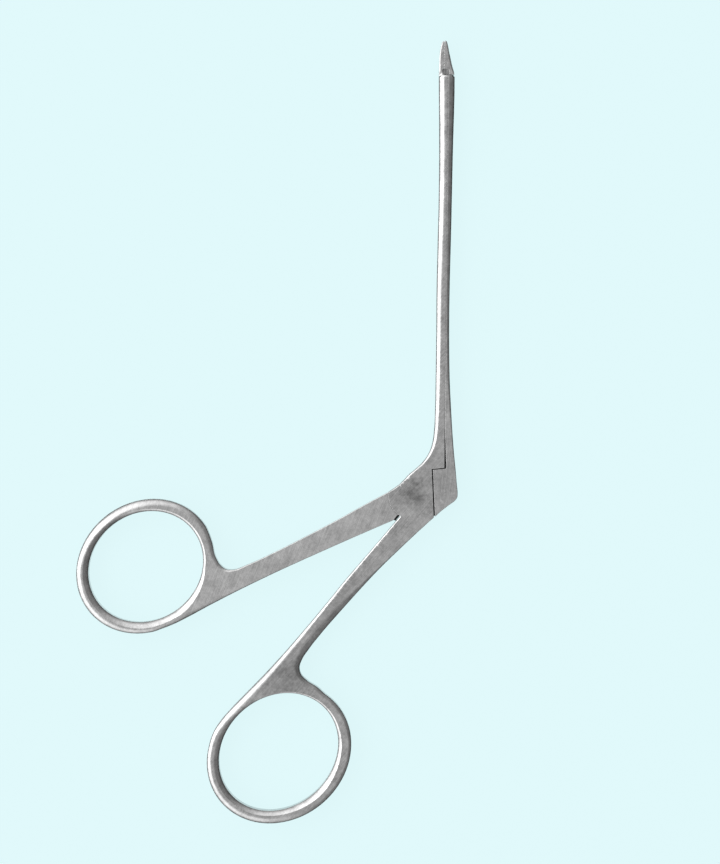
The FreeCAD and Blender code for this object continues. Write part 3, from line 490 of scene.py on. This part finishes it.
fixed_edge = closed_edge([
    (cheek, (0.06, 0, 40)),
    (upper_edge, (0.22, 12, 43)),
    (neck_edge, neck_rounding),
    (jaw_back, jaw_back_rounding),
] + toothed(bite_x, upward=False) + [
    ([(bite_x, jaw_root), (5.5, 79.9), (5.32, 79.82), (5.22, 79.64), (5.2, 79.45)], broken_edge),
    ([(5.2, 79.45), (5.2, bar_end)], broken_edge),
    ([(5.2, bar_end), (seam_x, bar_end)], (0.1, 20, 40)),
    ([(seam_x, bar_end), (seam_x, 30.0)], seam_edge),
    ([(seam_x, 30.0), (seam_x, 5.35)], seam_edge),
    ([(seam_x, 5.35), (3.9, 5.08)], seam_edge),
    ([(3.9, 5.08), hip_edge[0]], seam_edge),
    (hip_edge + rear_outside, np.concatenate([hip_rounding, around(rear_ring_outside, 52, -186)])),
    (inner_edge, inner_rounding),
])
rear_hole_edge = closed_edge([(rear_hole, around(rear_ring_inside, 0, 360, 90))])
fixed_face = ground_face([fixed_edge, rear_hole_edge], shaft_height)
fixed_half = ground_plate("fixed_half_forging", [fixed_edge, rear_hole_edge], fixed_face)

past_seam = 7.2
below_all = -2.5
half_slot, half_fork = 0.8, 0.58
jaw_pivot_place = (5.7, 77.1)
slot_room = arc(at_pivot, 4.25, 48.9, 311.1, 60)
tongue_slot = prism("tongue_slot", slot_room + [(6.6, -3.2), (6.6, 3.2)], -half_slot, half_slot)
guide_floor, guide_neck = 5.45, 5.87
half_guide, half_neck = 0.65, 0.35
guide_section = [(guide_floor, -half_guide), (guide_neck, -half_guide), (guide_neck, -half_neck),
                 (past_seam, -half_neck), (past_seam, half_neck), (guide_neck, half_neck),
                 (guide_neck, half_guide), (guide_floor, half_guide)]
guide = prism("guide", guide_section, 58.4, 63.3, plane="xz")
fork_outline = [(4.97, 75.9), (past_seam, 75.9), (past_seam, 79.95), (4.97, 79.95)]
jaw_fork = prism("jaw_fork", fork_outline, -half_fork, half_fork)
entry_outline = [(guide_floor, 54.15), (past_seam, 54.15), (past_seam, 58.45), (guide_floor, 58.45)]
guide_entry = prism("guide_entry", entry_outline, -half_guide, half_guide)
head_bore, shank_bore = 2.11, 1.21
head_floor, blind_top = -1.25, 1.7
screw_room = [(head_bore, below_all), (head_bore, head_floor),
              (shank_bore, head_floor), (shank_bore, blind_top)]
screw_bore = turned_piece("screw_bore", at_pivot, screw_room)
jaw_bore = turned_piece("jaw_bore", jaw_pivot_place, [(0.36, below_all), (0.36, 0.85)], 32)
worked(fixed_half, "DIFFERENCE", [tongue_slot, guide, jaw_fork, guide_entry, screw_bore, jaw_bore])
# Darker patches on the fixed half; the last one, at the root of the jaw, is painted shade.
fixed_dark_patches = [((-0.1, 0.9), 3.0, -0.18), ((1.7, -0.8), 2.9, -0.2), ((-22.5, -33.5), 7.0, -0.16),
                 ((4.9, 79.5), 1.1, -0.24)]
fixed_steel = satin_steel("satin_steel_fixed_half", grey=0.52, rough=0.2, brush_angle=50,
                          brush_strength=0.12, dark_patches=fixed_dark_patches)
finished(fixed_half, fixed_steel, "fixed_half", "satin_steel", "rear_handle_frame", face=fixed_face)

# Seam webs: two thin strips on the fixed half, behind the gaps beside the slide bar.
# Their near-black steel is painted shade, so that each seam reads as a black line of shadow.


def painted_shade_metal(name):
    """Near-black metal that paints the shade inside seams and notches: dull, grainy and faintly streaked."""
    material = bpy.data.materials.new(name)
    material.use_nodes = True
    nodes, links = material.node_tree.nodes, material.node_tree.links
    steel = nodes["Principled BSDF"]
    steel.inputs["Metallic"].default_value = 1.0
    place = nodes.new("ShaderNodeTexCoord")
    grain = nodes.new("ShaderNodeTexNoise")
    grain.inputs["Scale"].default_value = 2500
    grain.inputs["Detail"].default_value = 4
    links.new(place.outputs["Object"], grain.inputs["Vector"])
    for socket, low, high in (("Base Color", 0.01, 0.07), ("Roughness", 0.5, 0.75)):
        tone = nodes.new("ShaderNodeMapRange")
        tone.inputs["To Min"].default_value = low
        tone.inputs["To Max"].default_value = high
        links.new(grain.outputs["Fac"], tone.inputs["Value"])
        links.new(tone.outputs["Result"], steel.inputs[socket])
    relief = nodes.new("ShaderNodeBump")
    relief.inputs["Strength"].default_value = 0.4
    relief.inputs["Distance"].default_value = 0.00003
    links.new(grain.outputs["Fac"], relief.inputs["Height"])
    links.new(relief.outputs["Normal"], steel.inputs["Normal"])
    return material


# Painted shade: near-black steel on the webs behind the seams and in the notch.
hidden_steel = painted_shade_metal("painted_shade_on_webs")
seam_strip = [(6.2, 5.3), (6.75, 5.3), (6.75, 75.8), (6.2, 75.8)]
seam_tongue = prism("seam_tongue", seam_strip, -0.92, -0.72)
plate_outline = [(3.4, -3.0), (4.3, -3.8), (4.6, -3.55), (4.75, -3.2), (4.55, 3.5), (6.75, 3.7),
                 (6.75, 6.0), (3.4, 6.0)]
block_plate = prism("block_plate", plate_outline, 0.95, 1.15)
for piece in (seam_tongue, block_plate):
    finished(piece, hidden_steel, "fixed_half", "satin_steel")

# Finger handle: the lever that the fingers pull, forged in one with its ring.
# Its round shoulder runs against the cheeks of the body, and a thin tongue goes between them
# to the pivot screw and on to the slide, where a slot in its nose holds the drive pin.


def finger(along, across):
    return along_arm(206.55, along, across)


shoulder_radius = 4.165
shoulder_top = math.degrees(math.asin(2.5 / shoulder_radius))
shoulder = [finger(shoulder_radius * math.cos(a), shoulder_radius * math.sin(a))
            for a in np.radians(np.linspace(-shoulder_top, 29, 12))]
finger_lower = [finger(4.85, 2.62), finger(8.0, 2.46), finger(14.0, 2.2), finger(20.0, 1.98),
                finger(26.0, 1.79), finger(32.0, 1.7), finger(38.0, 1.73), finger(43.0, 1.86),
                finger(47.0, 2.03), finger(50.0, 2.06), finger(53.0, 1.82)]
finger_lower_rounding = [(0.1, 0, 40), (0.12, 0, 40), (0.15, 0, 40), (0.2, 0, 42), (0.28, 0, 43),
                         (0.4, 0, 43), (0.6, 0, 43), (0.9, 0, 43), (1.15, 2, 43), (1.1, 3, 43),
                         (1.0, 4, 42)]
finger_outside = oval((-49.35, -13.53), 13.49, 11.94, 38.5, 278, 33)
finger_upper = [finger_outside[-1], finger(37.05, -8.6), finger(37.65, -5.9), finger(37.52, -4.05),
                finger(36.9, -2.86), finger(35.7, -2.18), finger(33.0, -1.86), finger(28.0, -1.73),
                finger(22.0, -1.79), finger(14.0, -2.02), finger(8.0, -2.33), shoulder[0]]
finger_upper_rounding = [(1.07, 7, 43), (1.05, 4, 43), (1.0, 3, 43), (0.85, 2, 43), (0.7, 2, 43),
                         (0.4, 2, 43), (0.2, 2, 44)] + 5 * [(0.14, 0, 44)]
finger_ring_outside = [(0, 1.0, 4, 43), (45, 1.1, 8, 43), (90, 1.25, 12, 44), (135, 1.3, 12, 44),
                       (180, 0.95, 6, 44), (225, 1.0, 6, 44), (270, 0.85, 4, 42), (300, 1.2, 4, 42),
                       (315, 1.5, 4, 43)]
finger_ring_inside = [(0, 0.55, 20, 43), (45, 0.5, 20, 43), (90, 0.5, 22, 43), (135, 0.75, 26, 43),
                      (180, 1.1, 26, 43), (225, 1.1, 20, 43), (270, 1.3, 14, 43), (300, 1.3, 14, 42),
                      (315, 1.3, 12, 42), (340, 0.9, 16, 43)]
finger_hole = oval((-49.31, -13.61), 11.14, 9.93, 37.0, 0, 360, 90)
lower_rounding = np.concatenate([finger_lower_rounding, around(finger_ring_outside, 278, 33)])
finger_edge = closed_edge([
    (shoulder, (0.06, 0, 40)),
    ([shoulder[-1], finger(4.85, 2.62)], (0.08, 0, 40)),
    (finger_lower + finger_outside, lower_rounding),
    (finger_upper, finger_upper_rounding),
])
finger_hole_edge = closed_edge([(finger_hole, around(finger_ring_inside, 0, 360, 90))])


def even_height(half):
    return lambda y: np.full(len(y), half)


finger_face = ground_face([finger_edge, finger_hole_edge], even_height(half_body))
finger_lever = ground_plate("finger_lever_forging", [finger_edge, finger_hole_edge], finger_face)
opening = 11.0
nose_way = [(math.cos(math.radians(a)), math.sin(math.radians(a))) for a in (opening / 2, opening / 2 + 90)]


def nose(along, across):
    x = along * nose_way[0][0] + across * nose_way[1][0]
    y = along * nose_way[0][1] + across * nose_way[1][1]
    return x, y


def round_end(place_at, middle, radius, steps, way=1):
    """Half round end of a bar or slot, on the side that way points to along its axis."""
    return [place_at(middle + way * radius * math.sin(a), way * radius * math.cos(a))
            for a in np.radians(np.linspace(0, 180, steps))]


def plain_edge(outline, rounding):
    """Closed edge straight from point to point."""
    return closed_edge([([a, b], rounding) for a, b in zip(outline, outline[1:] + outline[:1])])


drive_arm, slot_play = 6.4, 0.06
hub_radius = 2.45
tongue_outline = [finger(5.38, -2.0), finger(0.0, -hub_radius)]
tongue_outline += arc(at_pivot, hub_radius, 110, 95, 4)
tongue_outline += round_end(nose, drive_arm, 1.35, 20)
tongue_outline += arc(at_pivot, hub_radius, -84, -63.45, 6)
tongue_outline += [finger(5.38, 2.0)]
tongue_edge = plain_edge(tongue_outline, seam_edge)
drive_reach = drive_arm * math.cos(math.radians(opening / 2))
drive_slot = round_end(nose, drive_arm + slot_play, 0.72, 12)
drive_slot += round_end(nose, drive_reach - slot_play, 0.72, 12, way=-1)
pivot_hole = arc(at_pivot, 1.22, 0, 351, 40)
tongue_edges = [tongue_edge] + [plain_edge(hole, (0.03, 0, 40)) for hole in (drive_slot, pivot_hole)]
tongue = ground_plate("tongue", tongue_edges, ground_face(tongue_edges, even_height(0.75)))
worked(finger_lever, "UNION", [tongue])
finger_steel = satin_steel("satin_steel_finger_lever", grey=0.6, rough=0.22, brush_angle=68,
                           brush_strength=0.15)
finished(finger_lever, finger_steel, "finger_lever", "satin_steel", "finger_handle", face=finger_face)

# Notch web: a small web on the finger handle that closes the notch between the two arms.
# It carries the same near-black painted shade as the seam webs and clears the body as the handle turns.

web_outline = [(-2.6, -3.3), (-3.1, -4.45), (-2.76, -4.66), (-1.97, -3.66), (-2.0, -3.3)]
notch_web = prism("notch_web", web_outline, 0.4, 0.7)
finished(notch_web, hidden_steel, "finger_lever", "satin_steel")

# Slide bar: the moving half of the shaft, milled from bar and fitted to the fixed bar.
# Its block has a slot for the nose of the lever, a T-shaped lug holds it in the guide,
# and its front end is forked for the tail of the jaw.

slide_x, slide_end = 6.29, 78.7
slide_right = [(7.56, slide_end), (7.5, 73.0), (7.35, 66.0), (7.24, 58.0), (7.12, 49.0), (6.98, 41.0),
               (6.92, 34.0), (6.96, 28.0), (7.1, 22.0), (7.42, 16.0), (7.7, 11.8), (8.02, 8.0),
               (8.34, 5.0), (8.6, 2.2), (8.75, 0.7), (8.68, -0.15), (8.35, -0.68), (7.85, -1.1)]
slide_rounding = [(1.3, 6, 43), (1.25, 6, 43), (1.1, 6, 43), (1.0, 6, 43), (0.88, 6, 43), (0.72, 6, 43),
                  (0.65, 5, 43), (0.62, 4, 43), (0.55, 3, 43), (0.4, 2, 43), (0.3, 0, 43), (0.25, 0, 43),
                  (0.2, 0, 43), (0.16, 0, 43), (0.14, 0, 43), (0.12, 0, 43), (0.12, 0, 43), (0.12, 0, 43)]
slide_edge = closed_edge([
    ([(4.14, 4.93), (6.6, 5.19)], seam_edge),
    ([(6.6, 5.19), (6.31, 13.0)], seam_edge),
    ([(6.31, 13.0), (slide_x, 40.0)], seam_edge),
    ([(slide_x, 40.0), (slide_x, slide_end)], seam_edge),
    ([(slide_x, slide_end), (7.56, slide_end)], (0.1, 20, 40)),
    (slide_right, slide_rounding),
    ([(7.85, -1.1), (6.9, -1.8), (5.7, -2.75), (4.6, -3.78)], (0.1, 0, 40)),
    ([(4.6, -3.78), (4.14, 4.93)], seam_edge),
])


def slide_height(y):
    """Half thickness of the slide bar, like the fixed bar's but without the jaw."""
    return np.interp(y, [9.0, 30.0, 78.3, slide_end], [half_body, half_shaft, half_shaft, 1.0])


slide_face = ground_face([slide_edge], slide_height)
slide = ground_plate("slide_bar_milled", [slide_edge], slide_face)
lug_floor, lug_neck, lug_top = 5.49, 5.83, 6.4
half_lug, half_stem = 0.61, 0.31
lug_section = [(lug_floor, -half_lug), (lug_neck, -half_lug), (lug_neck, -half_stem), (lug_top, -half_stem),
               (lug_top, half_stem), (lug_neck, half_stem), (lug_neck, half_lug), (lug_floor, half_lug)]
lug = prism("lug", lug_section, 60.0, 63.0, plane="xz")
worked(slide, "UNION", [lug])
room_outline = [(3.0, -2.2), (7.97, -2.2), (7.97, 3.2), (3.0, 3.2)]
nose_room = prism("nose_room", room_outline, -half_slot, half_slot)
tail_outline = [(6.2, 75.9), (8.2, 75.9), (8.2, 79.5), (6.2, 79.5)]
tail_room = prism("tail_room", tail_outline, -half_fork, half_fork)
drive_place = (drive_reach, drive_arm * math.sin(math.radians(opening / 2)))
drive_bore = turned_piece("drive_bore", drive_place, [(0.71, below_all), (0.71, blind_top)], 40)
jaw_drive_place = (6.85, jaw_pivot_place[1] + drive_place[1])
jaw_drive_bore = turned_piece("jaw_drive_bore", jaw_drive_place, [(0.29, below_all), (0.29, 0.7)], 32)
strip_room = [(6.1, 4.0), (6.85, 4.0), (6.85, 78.3), (6.1, 78.3)]
tongue_groove = prism("tongue_groove", strip_room, -0.96, -0.68)
plate_room = [(3.3, -4.3), (4.75, -4.3), (4.87, -3.2), (4.67, 3.4), (6.87, 3.6), (6.87, 7.5), (3.3, 7.5)]
plate_groove = prism("plate_groove", plate_room, 0.9, 1.2)
worked(slide, "DIFFERENCE", [nose_room, tail_room, drive_bore, jaw_drive_bore, tongue_groove, plate_groove])
slide_steel = satin_steel("satin_steel_slide", grey=0.52, rough=0.2, brush_angle=84, brush_strength=0.1)
finished(slide, slide_steel, "slide", "satin_steel", "slide_bar", face=slide_face)

# Moving jaw: a small toothed blade with a tang, filed from one piece.
# The hub of the tang turns on a pin in the fixed bar and its slotted tail is pushed by a pin in the slide.

blade_x = 5.63
blade_back = [(blade_x, bite_end), (5.7, 85.18), (5.9, 85.14), (6.08, 84.8), (6.2, 84.35), (6.45, 83.1),
              (6.72, 81.9), (7.02, 80.5), (7.36, 79.35), (7.46, 78.84)]
blade_rounding = [(0.1, 0, 40), (0.15, 0, 43), (0.2, 0, 43), (0.25, 0, 43), (0.3, 0, 43), (0.4, 0, 43),
                  (0.45, 0, 43), (0.45, 0, 43), (0.35, 0, 43), (0.15, 0, 43)]
blade_root = [(6.5, 79.5), (6.44, 79.74), (6.26, 79.87), (6.05, jaw_root)]
blade_edge = closed_edge(toothed(blade_x, upward=True) + [
    (blade_back, blade_rounding),
    ([(7.46, 78.84), (6.5, 78.84)], (0.06, 0, 40)),
    ([(6.5, 78.84), (6.5, 79.5)], (0.05, 0, 40)),
    (blade_root, (0.05, 0, 40)),
    ([(6.05, jaw_root), (blade_x, jaw_root)], (0.05, 0, 40)),
])


def blade_height(y):
    """Half thickness of the moving jaw from its root to its tip."""
    return np.interp(y, [79.0, 85.2], [0.86, 0.5])


blade_face = ground_face([blade_edge], blade_height)
blade = ground_plate("moving_jaw_blade", [blade_edge], blade_face, grain=0.3)
jaw_arm = 1.15
half_swing = math.atan(drive_place[1] / jaw_arm)
tail_reach = math.hypot(jaw_arm, drive_place[1])


def about_jaw_pin(along, across):
    c, s = math.cos(half_swing), math.sin(half_swing)
    return jaw_pivot_place[0] + along * c - across * s, jaw_pivot_place[1] + along * s + across * c


swing = math.degrees(half_swing)
tang_outline = arc(jaw_pivot_place, 0.68, 180, 326, 16)
tang_outline += arc(about_jaw_pin(tail_reach, 0), 0.53, swing - 90, swing + 60, 12)
tang_outline += [(7.05, 79.05), (6.5, 79.95), (5.68, 79.95), (5.02, 79.5)]
tang_slot = round_end(about_jaw_pin, tail_reach + slot_play, 0.3, 10)
tang_slot += round_end(about_jaw_pin, jaw_arm - slot_play, 0.3, 10, way=-1)
tang_hole = arc(jaw_pivot_place, 0.37, 0, 350, 36)
tang_edges = [plain_edge(outline, (0.03, 0, 40)) for outline in (tang_outline, tang_slot, tang_hole)]
tang_face = ground_face(tang_edges, even_height(0.55))
tang = ground_plate("moving_jaw_tang", tang_edges, tang_face, grain=0.3)
# The dark patch at the jaw's root is painted shade.
jaw_steel = satin_steel("satin_steel_jaw", grey=0.5, rough=0.25, brush_angle=75,
                        brush_strength=0.15, dark_patches=[((6.9, 79.2), 1.4, -0.26)])
finished(blade, jaw_steel, "jaw", "satin_steel", "moving_jaw", face=blade_face)
# Painted shade: the tang's steel is darker and duller, as the shade at the root of the jaw.
tang_steel = satin_steel("shaded_steel_tang", grey=0.3, rough=0.4, brush_angle=75, brush_strength=0.2)
finished(tang, tang_steel, "jaw", "satin_steel")

# Screw and pins: turned from hard stainless bar and pressed in from the underside.
# The handle screw has a slotted head, the three pins are plain, and all are ground flush.

screw_profile = [(1.9, -1.99), (2.0, -1.98), (2.07, -1.93), (2.1, -1.86), (2.1, -1.26), (1.2, -1.26),
                 (1.2, 1.69)]
screw = turned_piece("handle_screw_turned", at_pivot, screw_profile)
driver_outline = [(-3, -0.25), (3, -0.25), (3, 0.25), (-3, 0.25)]
driver_slot = prism("driver_slot", driver_outline, -2.4, -1.6)
worked(screw, "DIFFERENCE", [driver_slot])
screw_steel = satin_steel("screw_steel_turned", grey=0.6, rough=0.26, brush_angle=20,
                          brush_strength=0.15)
finished(screw, screw_steel, "fixed_half", "screw_steel", "handle_pivot_screw")
for name, centre, radius, low, top, body, node in (
        ("slide_pin_turned", drive_place, 0.7, -1.99, 1.69, "slide", "slide_drive_pin"),
        ("jaw_pivot_pin_turned", jaw_pivot_place, 0.35, -1.05, 0.84, "fixed_half", "jaw_pivot_pin"),
        ("jaw_drive_pin_turned", jaw_drive_place, 0.28, -0.92, 0.69, "slide", "jaw_drive_pin")):
    rim = 0.12 * radius
    profile = [(radius - 1.6 * rim, low), (radius - 0.6 * rim, low + 0.02),
               (radius, low + 0.07), (radius, top)]
    pin = turned_piece(name, centre, profile, 40)
    finished(pin, screw_steel, body, "screw_steel", node)

# Table top: a pale matt board that the instrument lies on, bare and without a pattern.
# It looks as pale in the steel as it does to the eye, and it keeps the soft shadow.

half_table, table_drop = 1.5, -0.0001
corners = [(-half_table, -half_table), (half_table, -half_table),
           (half_table, half_table), (-half_table, half_table)]
floor_mesh = bpy.data.meshes.new("table_top")
floor_mesh.from_pydata([(x, y, table_drop) for x, y in corners], [], [(0, 1, 2, 3)])
floor = bpy.data.objects.new("table_top", floor_mesh)
bpy.context.scene.collection.objects.link(floor)
pale = (0.753, 0.947, 0.965, 1.0)
table_top = bpy.data.materials.new("pale_table_top")
table_top.use_nodes = True
nodes, links = table_top.node_tree.nodes, table_top.node_tree.links
paint = nodes["Principled BSDF"]
paint.inputs["Base Color"].default_value = pale
paint.inputs["Roughness"].default_value = 0.9
paint.inputs["Specular IOR Level"].default_value = 0.0
glow = nodes.new("ShaderNodeEmission")
glow.inputs["Color"].default_value = pale
ray = nodes.new("ShaderNodeLightPath")
seen = nodes.new("ShaderNodeMath")
seen.operation = "MAXIMUM"
links.new(ray.outputs["Is Camera Ray"], seen.inputs[0])
links.new(ray.outputs["Is Glossy Ray"], seen.inputs[1])
share = nodes.new("ShaderNodeMath")
share.operation = "MULTIPLY"
share.inputs[1].default_value = 0.95
links.new(seen.outputs[0], share.inputs[0])
mixed = nodes.new("ShaderNodeMixShader")
links.new(share.outputs[0], mixed.inputs[0])
links.new(paint.outputs[0], mixed.inputs[1])
links.new(glow.outputs[0], mixed.inputs[2])
links.new(mixed.outputs[0], nodes["Material Output"].inputs["Surface"])
floor_mesh.materials.append(table_top)

# Room light: walls that are bright on the window side and dim on the other, a soft ceiling
# and a dark line at the horizon, with one window lamp to the left.

world = bpy.data.worlds.new("studio")
bpy.context.scene.world = world
world.use_nodes = True
nodes, links = world.node_tree.nodes, world.node_tree.links
sky = nodes["Background"]
sky.inputs["Color"].default_value = (1.0, 1.0, 1.0, 1.0)
way = nodes.new("ShaderNodeTexCoord")
toward = nodes.new("ShaderNodeVectorMath")
toward.operation = "DOT_PRODUCT"
toward.inputs[1].default_value = (-0.98, 0.1, 0.0)
links.new(way.outputs["Generated"], toward.inputs[0])
parts = nodes.new("ShaderNodeSeparateXYZ")
links.new(way.outputs["Generated"], parts.inputs[0])
height = parts.outputs["Z"]


def counted(operation, a, b):
    """One step of sums on the light: a value with a value or a number."""
    node = nodes.new("ShaderNodeMath")
    node.operation = operation
    for socket, value in zip(node.inputs, (a, b)):
        if isinstance(value, float):
            socket.default_value = value
        else:
            links.new(value, socket)
    return node.outputs[0]


def graded(value, low, high, new_low, new_high):
    """Even change from one strength to another over a range of a value."""
    node = nodes.new("ShaderNodeMapRange")
    for socket, number in zip(("From Min", "From Max", "To Min", "To Max"), (low, high, new_low, new_high)):
        node.inputs[socket].default_value = number
    links.new(value, node.inputs["Value"])
    return node.outputs["Result"]


shade_side, window_side = 0.09, 0.72
wall_light = ((0.2, 0.11), (0.4, 0.3), (0.5, 0.42), (0.7, 0.5), (0.88, 0.7))
wall_strength, ceiling_strength = 3.0, 0.58
level = counted("SQRT", counted("SUBTRACT", 1.001, counted("MULTIPLY", height, height)), 0.0)
walls = nodes.new("ShaderNodeValToRGB")
for stop, bright in zip(walls.color_ramp.elements, (shade_side, window_side)):
    stop.color = (bright, bright, bright, 1)
for where, bright in wall_light:
    walls.color_ramp.elements.new(where).color = (bright, bright, bright, 1)
links.new(graded(counted("DIVIDE", toward.outputs["Value"], level), -1.0, 1.0, 0.0, 1.0), walls.inputs["Fac"])
around_room = counted("MULTIPLY", walls.outputs["Color"], wall_strength)
ceiling = graded(height, 0.8, 0.95, 0.0, 1.0)
room = counted("ADD", counted("MULTIPLY", ceiling, ceiling_strength),
               counted("MULTIPLY", counted("SUBTRACT", 1.0, ceiling), around_room))
strength = counted("MULTIPLY", room, graded(height, 0.12, 0.52, 0.06, 1.0))
links.new(strength, sky.inputs["Strength"])
backdrop = nodes.new("ShaderNodeBackground")
backdrop.inputs["Color"].default_value = pale
seen = nodes.new("ShaderNodeLightPath")
mixed = nodes.new("ShaderNodeMixShader")
links.new(seen.outputs["Is Camera Ray"], mixed.inputs[0])
links.new(sky.outputs[0], mixed.inputs[1])
links.new(backdrop.outputs[0], mixed.inputs[2])
links.new(mixed.outputs[0], nodes["World Output"].inputs["Surface"])

window = bpy.data.lights.new("window", "AREA")
window.shape = "RECTANGLE"
window.size, window.size_y = 0.5, 0.4
window.energy = 0.6
window_lamp = bpy.data.objects.new("window", window)
window_place = Vector((-0.5, 0.15, 0.4))
window_lamp.location = window_place
window_lamp.rotation_euler = (-window_place).to_track_quat("-Z", "Y").to_euler()
bpy.context.scene.collection.objects.link(window_lamp)

# Camera: a long lens straight above the instrument, turned a little with the picture.
# Its height and the height of the picture, in metres, set how much of the table it takes in.

view_height = 0.60
picture_height = 0.1616
sensor = 36.0
view_across, view_along = -9.55, 11.88
view_middle = Vector((pivot_place.x + view_across, pivot_place.y + view_along, mid_height)) / 1000
lens = bpy.data.cameras.new("long_lens")
lens.sensor_width = sensor
lens.lens = sensor * view_height / picture_height
lens.clip_start = 0.01
camera = bpy.data.objects.new("long_lens", lens)
camera.location = view_middle + Vector((0, 0, view_height))
camera.rotation_euler = (0, 0, math.radians(0.53))
bpy.context.scene.collection.objects.link(camera)
bpy.context.scene.camera = camera
bpy.context.scene.view_settings.view_transform = "Standard"
